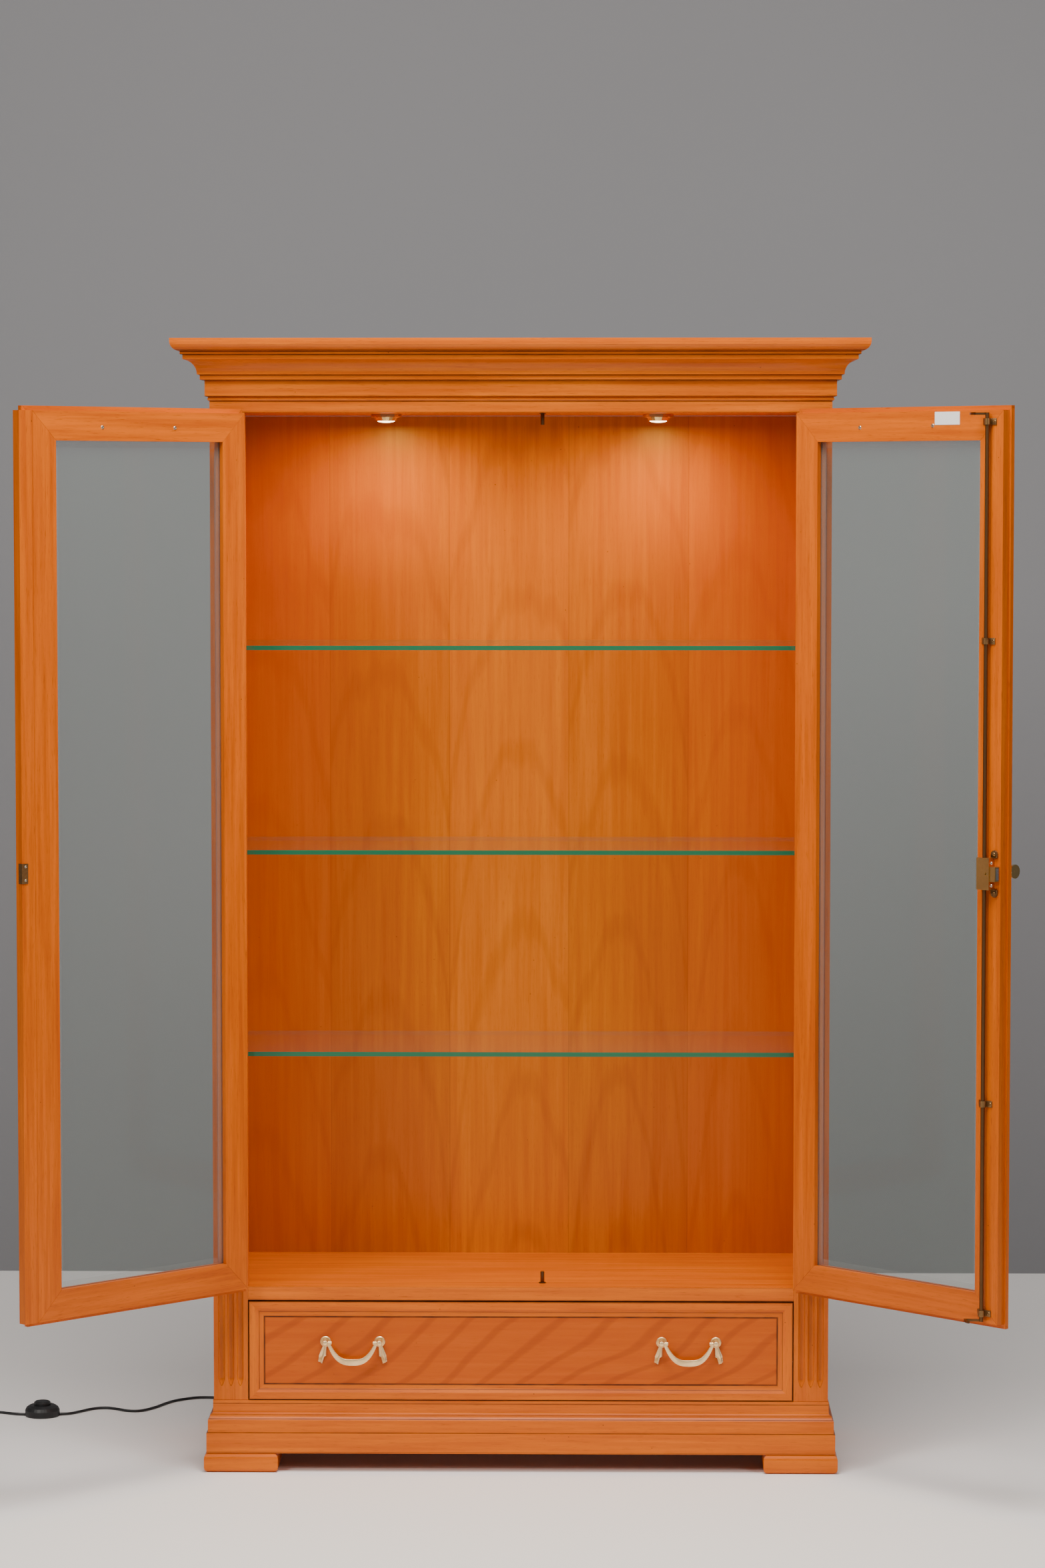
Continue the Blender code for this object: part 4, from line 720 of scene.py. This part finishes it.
# ---------------------------------------------------------------- rail screws and label
# Two screws in each top rail hold the corner blocks; a blank paper label is stuck on the right one.
for side, places in (("right", ((0.334, 1.8437), (0.170, 1.8454))),
                     ("left", ((-0.165, 1.8430), (-0.324, 1.8433)))):
    heads = None
    for x, level in places:
        head = screw_head((x, INNER + 0.0006, level), 0.0035)
        heads = join_into(heads, head) if heads else head
    solid(f"{side}_rail_screws", open_door(heads, side), steel, f"{side}_door", 35)

paper, tree, shader = start_material("label_paper")
place_on = node(tree, "ShaderNodeTexCoord").outputs["Object"]
fibres = node(tree, "ShaderNodeTexNoise", {"Scale": 700.0, "Detail": 5.0, "Vector": place_on})
paper_tone = node(tree, "ShaderNodeValToRGB")
paper_tone.color_ramp.elements[0].color = (0.62, 0.60, 0.56, 1)
paper_tone.color_ramp.elements[1].color = (0.80, 0.79, 0.76, 1)
tree.links.new(fibres.outputs["Fac"], paper_tone.inputs["Fac"])
tree.links.new(paper_tone.outputs["Color"], shader.inputs["Base Color"])
bump = node(tree, "ShaderNodeBump", {"Strength": 0.1, "Distance": 0.0001, "Height": fibres.outputs["Fac"]})
tree.links.new(bump.outputs["Normal"], shader.inputs["Normal"])
shader.inputs["Roughness"].default_value = 0.7
label = block((0.110, INNER + 0.0001, 1.8465), (0.165, INNER + 0.0005, 1.8685), 0.0001)
solid("blank_label", open_door(label, "right"), paper, "right_door")


# ---------------------------------------------------------------- drawer
# Cherry box; the front has a raised border round a sunk field of crown-cut veneer, whose dark
# growth lines sweep across it; painted shade darkens the border's grooves and edges.
dress(cherry_across, "drawer_back", "drawer_bottom")
dress(cherry_deep, "drawer_left_side", "drawer_right_side")
low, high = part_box("drawer_front")
FIELD_INSET = 0.027
field_x, field_z = (low[0] + high[0]) / 2, (low[2] + high[2]) / 2
half_x, half_z = (high[0] - low[0]) / 2 - FIELD_INSET, (high[2] - low[2]) / 2 - FIELD_INSET
drawer_wood, tree, shader = start_material("cherry_drawer_front")
place_on = node(tree, "ShaderNodeTexCoord").outputs["Object"]
parts = node(tree, "ShaderNodeSeparateXYZ", {"Vector": place_on})
off_x = step_in(tree, "ABSOLUTE", step_in(tree, "SUBTRACT", parts.outputs["X"], field_x))
off_z = step_in(tree, "ABSOLUTE", step_in(tree, "SUBTRACT", parts.outputs["Z"], field_z))
from_x = step_in(tree, "SUBTRACT", off_x, half_x)
from_z = step_in(tree, "SUBTRACT", off_z, half_z)
beyond = step_in(tree, "MAXIMUM", from_x, from_z)
lay = node(tree, "ShaderNodeMapping", {"Vector": place_on})
lay_end = node(tree, "ShaderNodeMapping", {"Rotation": (0, math.pi / 2, 0), "Vector": place_on})
end_piece = step_in(tree, "MULTIPLY", step_in(tree, "GREATER_THAN", from_x, 0.0),
                    step_in(tree, "GREATER_THAN", from_x, from_z))
grain_way = node(tree, "ShaderNodeMix", {"Factor": end_piece, "A": lay.outputs["Vector"],
                 "B": lay_end.outputs["Vector"]}, data_type="VECTOR")
wood = node(tree, "ShaderNodeGroup", {"Along Grain": grain_way.outputs["Result"]}, node_tree=figure)
crown_lay = node(tree, "ShaderNodeMapping", {"Rotation": (0, math.radians(-32), 0),
                 "Scale": (0.42, 1.0, 1.0), "Vector": place_on})
crowns = node(tree, "ShaderNodeTexWave", {"Scale": 11.0, "Distortion": 7.0, "Detail": 1.0,
              "Detail Scale": 0.55, "Vector": crown_lay.outputs["Vector"]}, bands_direction="X")
crown_line = node(tree, "ShaderNodeMapRange", {"From Max": 0.24, "To Min": 0.34, "To Max": 0.0,
                  "Value": crowns.outputs["Fac"]}, interpolation_type="SMOOTHSTEP")
in_field = step_in(tree, "LESS_THAN", beyond, 0.0)
field_tone = node(tree, "ShaderNodeMix", {"B": (0.42, 0.062, 0.0006, 1),
                  "Factor": step_in(tree, "MULTIPLY", in_field, 0.62), "A": wood.outputs["Color"]},
                  data_type="RGBA")
crowned = node(tree, "ShaderNodeMix", {"B": (0.22, 0.028, 0.0008, 1),
               "Factor": step_in(tree, "MULTIPLY", crown_line.outputs["Result"], in_field),
               "A": field_tone.outputs["Result"]}, data_type="RGBA")
# Painted shade round the field's edge, in the border's groove and at the front's outer edge.
colour = shade_grooves(tree, crowned.outputs["Result"], place_on, (
    (beyond, 0.0026, 1.0), (step_in(tree, "SUBTRACT", beyond, 0.0092), 0.0013, 0.75),
    (step_in(tree, "SUBTRACT", beyond, 0.0268), 0.0016, 0.7)))
lacquered(tree, shader, wood, colour)
dress(drawer_wood, "drawer_front")


# ---------------------------------------------------------------- drawer pulls
# Cast champagne-coloured brass: round rosettes with a hollowed rim and a centre post, a folded
# ribbon hanging from each, and a crescent bail that swings on the posts.
PULL_LEVEL, FIELD_FACE, PIVOT_Y = 0.2325, 0.001, -0.0145
POST_OUT = 0.048         # half the spacing of a pull's two posts
TAIL_FROM = 0.64         # where the ribbon's cut tail begins, as a share of its length
BAIL_DROP = 0.035


def turned(bm, outline, axis, steps):
    """Turns an outline a whole round about an axis through the origin."""
    bmesh.ops.spin(bm, geom=outline, cent=(0, 0, 0), axis=axis, dvec=(0, 0, 0), angle=2 * math.pi,
                   steps=steps, use_merge=True, use_normal_flip=False, use_duplicate=False)
    bmesh.ops.remove_doubles(bm, verts=bm.verts, dist=1e-6)


for pull, centre in (("left", -0.2975), ("right", 0.2975)):
    for out in (-1, 1):
        x = centre + out * POST_OUT
        place = "outer" if (out < 0) == (pull == "left") else "inner"
        rosette = bmesh.new()
        outline = [(0.0, 0.0), (0.0093, 0.0), (0.0097, 0.0010), (0.0094, 0.0026), (0.0084, 0.0034),
                   (0.0074, 0.0030), (0.0066, 0.0020), (0.0056, 0.0022), (0.0048, 0.0040),
                   (0.0042, 0.0062), (0.0036, 0.0085), (0.0036, 0.0125), (0.0044, 0.0135),
                   (0.0048, 0.0155), (0.0042, 0.0178), (0.0024, 0.0190), (0.0, 0.0193)]
        line = [rosette.verts.new((r, 0, h)) for r, h in outline]
        edges = [rosette.edges.new(pair) for pair in zip(line, line[1:])]
        turned(rosette, line + edges, (0, 0, 1), 40)
        turn_by(rosette, math.pi / 2, "X")
        move(rosette, (x, FIELD_FACE - 0.0003, PULL_LEVEL))
        pin = bmesh.new()
        bmesh.ops.create_cone(pin, cap_ends=True, segments=16, radius1=0.0016, radius2=0.0016, depth=0.0095)
        turn_by(pin, math.pi / 2, "Y")
        move(pin, (x - out * 0.0052, PIVOT_Y, PULL_LEVEL))
        join_into(rosette, pin)
        ribbon = bmesh.new()
        bmesh.ops.create_grid(ribbon, x_segments=12, y_segments=16, size=0.5)
        for v in ribbon.verts:
            across, down = v.co.x, 0.5 - v.co.y            # -0.5..0.5 and 0..1
            tail = down > TAIL_FROM
            width = 0.0092 - 0.0060 * (down - TAIL_FROM) if tail else 0.0052 + 0.0118 * down
            fold = 0.0011 * math.sin(across * 5.4 * math.pi / 2 + out * 0.6) * (0.35 + down)
            curl = 0.0016 * math.exp(-((down - 0.90) / 0.10) ** 2) * (0.5 + across * out)
            step_out = 0.0012 if tail else 0.0
            hem = 0.0040 * across * out * max(0.0, down - 0.72) / 0.28
            v.co = Vector((x + out * (0.0010 + 0.0070 * down + step_out) + across * width,
                           FIELD_FACE - 0.0030 - fold - curl + (0.0006 if tail else 0.0),
                           PULL_LEVEL - 0.0050 - 0.0315 * down + hem))
        bmesh.ops.solidify(ribbon, geom=ribbon.faces[:] + ribbon.edges[:] + ribbon.verts[:], thickness=0.0010)
        join_into(rosette, ribbon)
        move(rosette, -MIDDLE)
        made = solid(f"{pull}_{place}_rosette_cast", rosette, champagne, "drawer", 40)
        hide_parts(f"{pull}_pull_{place}_rosette")
    bail = bmesh.new()
    half_span, steps = POST_OUT - 0.0085 + 0.003, 28
    line = []
    for i in range(steps + 1):
        share = math.sin(math.pi * (i / steps - 0.5))
        line.append(Vector((centre + share * half_span, 0, PULL_LEVEL - BAIL_DROP * (1 - abs(share) ** 3.0))))
    upper, lower = [], []
    for i, point in enumerate(line):
        along = (line[min(i + 1, steps)] - line[max(i - 1, 0)]).normalized()
        share = (point.x - centre) / half_span
        half_width = Vector((-along.z, 0, along.x)) * (0.0026 + 0.0030 * (1 - share * share))
        for rim, place in ((upper, point + half_width), (lower, point - half_width)):
            rim.append((place.x, PIVOT_Y - 0.0015, place.z))
    face = bail.faces.new([bail.verts.new(p) for p in lower + upper[::-1]])
    grown = bmesh.ops.extrude_face_region(bail, geom=[face])["geom"]
    bmesh.ops.translate(bail, vec=(0, 0.003, 0),
                        verts=[g for g in grown if isinstance(g, bmesh.types.BMVert)])
    rims = [e for e in bail.edges if abs(e.verts[0].co.y - e.verts[1].co.y) < 1e-6]
    ease(bail, rims, 0.0010, 3)
    for out in (-1, 1):
        collar = bmesh.new()
        outline = [(0.0019, -0.0058), (0.0030, -0.0058), (0.0034, -0.0048), (0.0030, -0.0036),
                   (0.0033, -0.0020), (0.0033, 0.0002), (0.0028, 0.0005), (0.0019, 0.0005), (0.0019, -0.0058)]
        line = [collar.verts.new((0, r, h * out)) for r, h in outline[:-1]]
        for v in line:
            v.co = Vector((v.co.z, v.co.y, 0))
        edges = [collar.edges.new((line[i], line[(i + 1) % len(line)])) for i in range(len(line))]
        turned(collar, line + edges, (1, 0, 0), 28)
        move(collar, (centre + out * half_span, PIVOT_Y, PULL_LEVEL))
        join_into(bail, collar)
    move(bail, -MIDDLE)
    made = solid(f"{pull}_bail_cast", bail, champagne, f"{pull}_bail", 50)
    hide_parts(f"{pull}_pull_bail")


# ---------------------------------------------------------------- lamps
# Small downlights in the ceiling: a brass rim and a frosted lens, both lit.
dress(bright_brass, "left_lamp", "right_lamp")
lens_glow, tree, shader = start_material("lamp_lens")
place_on = node(tree, "ShaderNodeTexCoord").outputs["Object"]
frost = node(tree, "ShaderNodeTexNoise", {"Scale": 400.0, "Vector": place_on})
glow = node(tree, "ShaderNodeValToRGB")
glow.color_ramp.elements[0].color = (1.0, 0.66, 0.34, 1)
glow.color_ramp.elements[1].color = (1.0, 0.86, 0.62, 1)
tree.links.new(frost.outputs["Fac"], glow.inputs["Fac"])
tree.links.new(glow.outputs["Color"], shader.inputs["Base Color"])
tree.links.new(glow.outputs["Color"], shader.inputs["Emission Color"])
shader.inputs["Emission Strength"].default_value = 9.0
shader.inputs["Roughness"].default_value = 0.4
LENS_RADIUS = 0.0155
for side in ("left", "right"):
    low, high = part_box(f"{side}_lamp")
    lens = bmesh.new()
    bmesh.ops.create_uvsphere(lens, u_segments=32, v_segments=16, radius=LENS_RADIUS)
    bmesh.ops.scale(lens, vec=(1, 1, 0.20), verts=lens.verts)
    move(lens, ((low[0] + high[0]) / 2, (low[1] + high[1]) / 2, low[2]))
    solid(f"{side}_lamp_lens", lens, lens_glow, "cabinet", 60)
    lamp_data = bpy.data.lights.new(f"{side}_lamp_light", "AREA")
    lamp_data.shape = "DISK"
    lamp_data.size = 0.05
    lamp_data.energy = 2.8
    lamp_data.color = (1.0, 0.80, 0.12)
    lamp = bpy.data.objects.new(f"{side}_lamp_light", lamp_data)
    lamp.location = ((low[0] + high[0]) / 2, (low[1] + high[1]) / 2, low[2] - 0.006)
    bpy.context.collection.objects.link(lamp)


# ---------------------------------------------------------------- floor and studio light
# A pale flat floor and a plain grey wall. The key light is on the left, a fill on the right,
# one lamp overhead, and one more over the floor in front of the plinth.
def stage_material(name, first, second, rough):
    """A plain studio surface with the faintest mottling."""
    made, tree, shader = start_material(name)
    place_on = node(tree, "ShaderNodeTexCoord").outputs["Object"]
    cloud = node(tree, "ShaderNodeTexNoise", {"Scale": 0.6, "Vector": place_on})
    ramp = node(tree, "ShaderNodeValToRGB")
    ramp.color_ramp.elements[0].color = first
    ramp.color_ramp.elements[1].color = second
    tree.links.new(cloud.outputs["Fac"], ramp.inputs["Fac"])
    tree.links.new(ramp.outputs["Color"], shader.inputs["Base Color"])
    shader.inputs["Roughness"].default_value = rough
    return made


WALL_AT = 2.03
floor_paint = stage_material("studio_floor_paint", (0.90, 0.87, 0.85, 1), (0.94, 0.91, 0.89, 1), 0.75)
wall_paint = stage_material("studio_wall_paint", (0.195, 0.196, 0.205, 1), (0.222, 0.224, 0.234, 1), 0.9)
# The wall is open from behind, so that the back of the cabinet can be seen.
wall_tree = wall_paint.node_tree
from_behind = node(wall_tree, "ShaderNodeNewGeometry")
wall_tree.links.new(step_in(wall_tree, "SUBTRACT", 1.0, from_behind.outputs["Backfacing"]),
                    wall_tree.nodes["Principled BSDF"].inputs["Alpha"])
for name, corners, finish in (
    ("studio_floor", ((-12, -12, 0), (12, -12, 0), (12, 14, 0), (-12, 14, 0)), floor_paint),
    ("studio_wall", ((-12, WALL_AT, 0), (12, WALL_AT, 0), (12, WALL_AT, 8), (-12, WALL_AT, 8)), wall_paint),
):
    sheet = bmesh.new()
    sheet.faces.new([sheet.verts.new(corner) for corner in corners])
    sheet_mesh = bpy.data.meshes.new(name)
    sheet.to_mesh(sheet_mesh)
    sheet.free()
    sheet_mesh.materials.append(finish)
    studio = bpy.data.objects.new(name, sheet_mesh)
    bpy.context.collection.objects.link(studio)

for name, place, aim, size, energy, colour in (
    ("key_light", (-3.4, -4.2, 4.2), (0.0, 0.0, 1.0), 1.6, 150.0, (1.0, 0.96, 0.90)),
    ("fill_light", (4.0, -4.2, 3.4), (0.0, 0.0, 0.9), 1.8, 80.0, (1.0, 0.97, 0.93)),
    ("top_light", (0.0, -1.6, 4.8), (0.0, 0.2, 0.2), 2.4, 150.0, (1.0, 0.97, 0.93)),
    ("floor_light", (0.1, -1.05, 3.3), (0.1, -1.06, 0.0), 1.3, 62.0, (1.0, 0.98, 0.94)),
):
    light_data = bpy.data.lights.new(name, "AREA")
    light_data.size = size
    light_data.energy = energy
    light_data.color = colour
    light = bpy.data.objects.new(name, light_data)
    light.location = place
    light.rotation_euler = (Vector(aim) - Vector(place)).to_track_quat("-Z", "Y").to_euler()
    bpy.context.collection.objects.link(light)

world = bpy.data.worlds.new("studio_air")
world.use_nodes = True
world.node_tree.nodes["Background"].inputs["Color"].default_value = (0.55, 0.56, 0.60, 1)
world.node_tree.nodes["Background"].inputs["Strength"].default_value = 0.16
bpy.context.scene.world = world
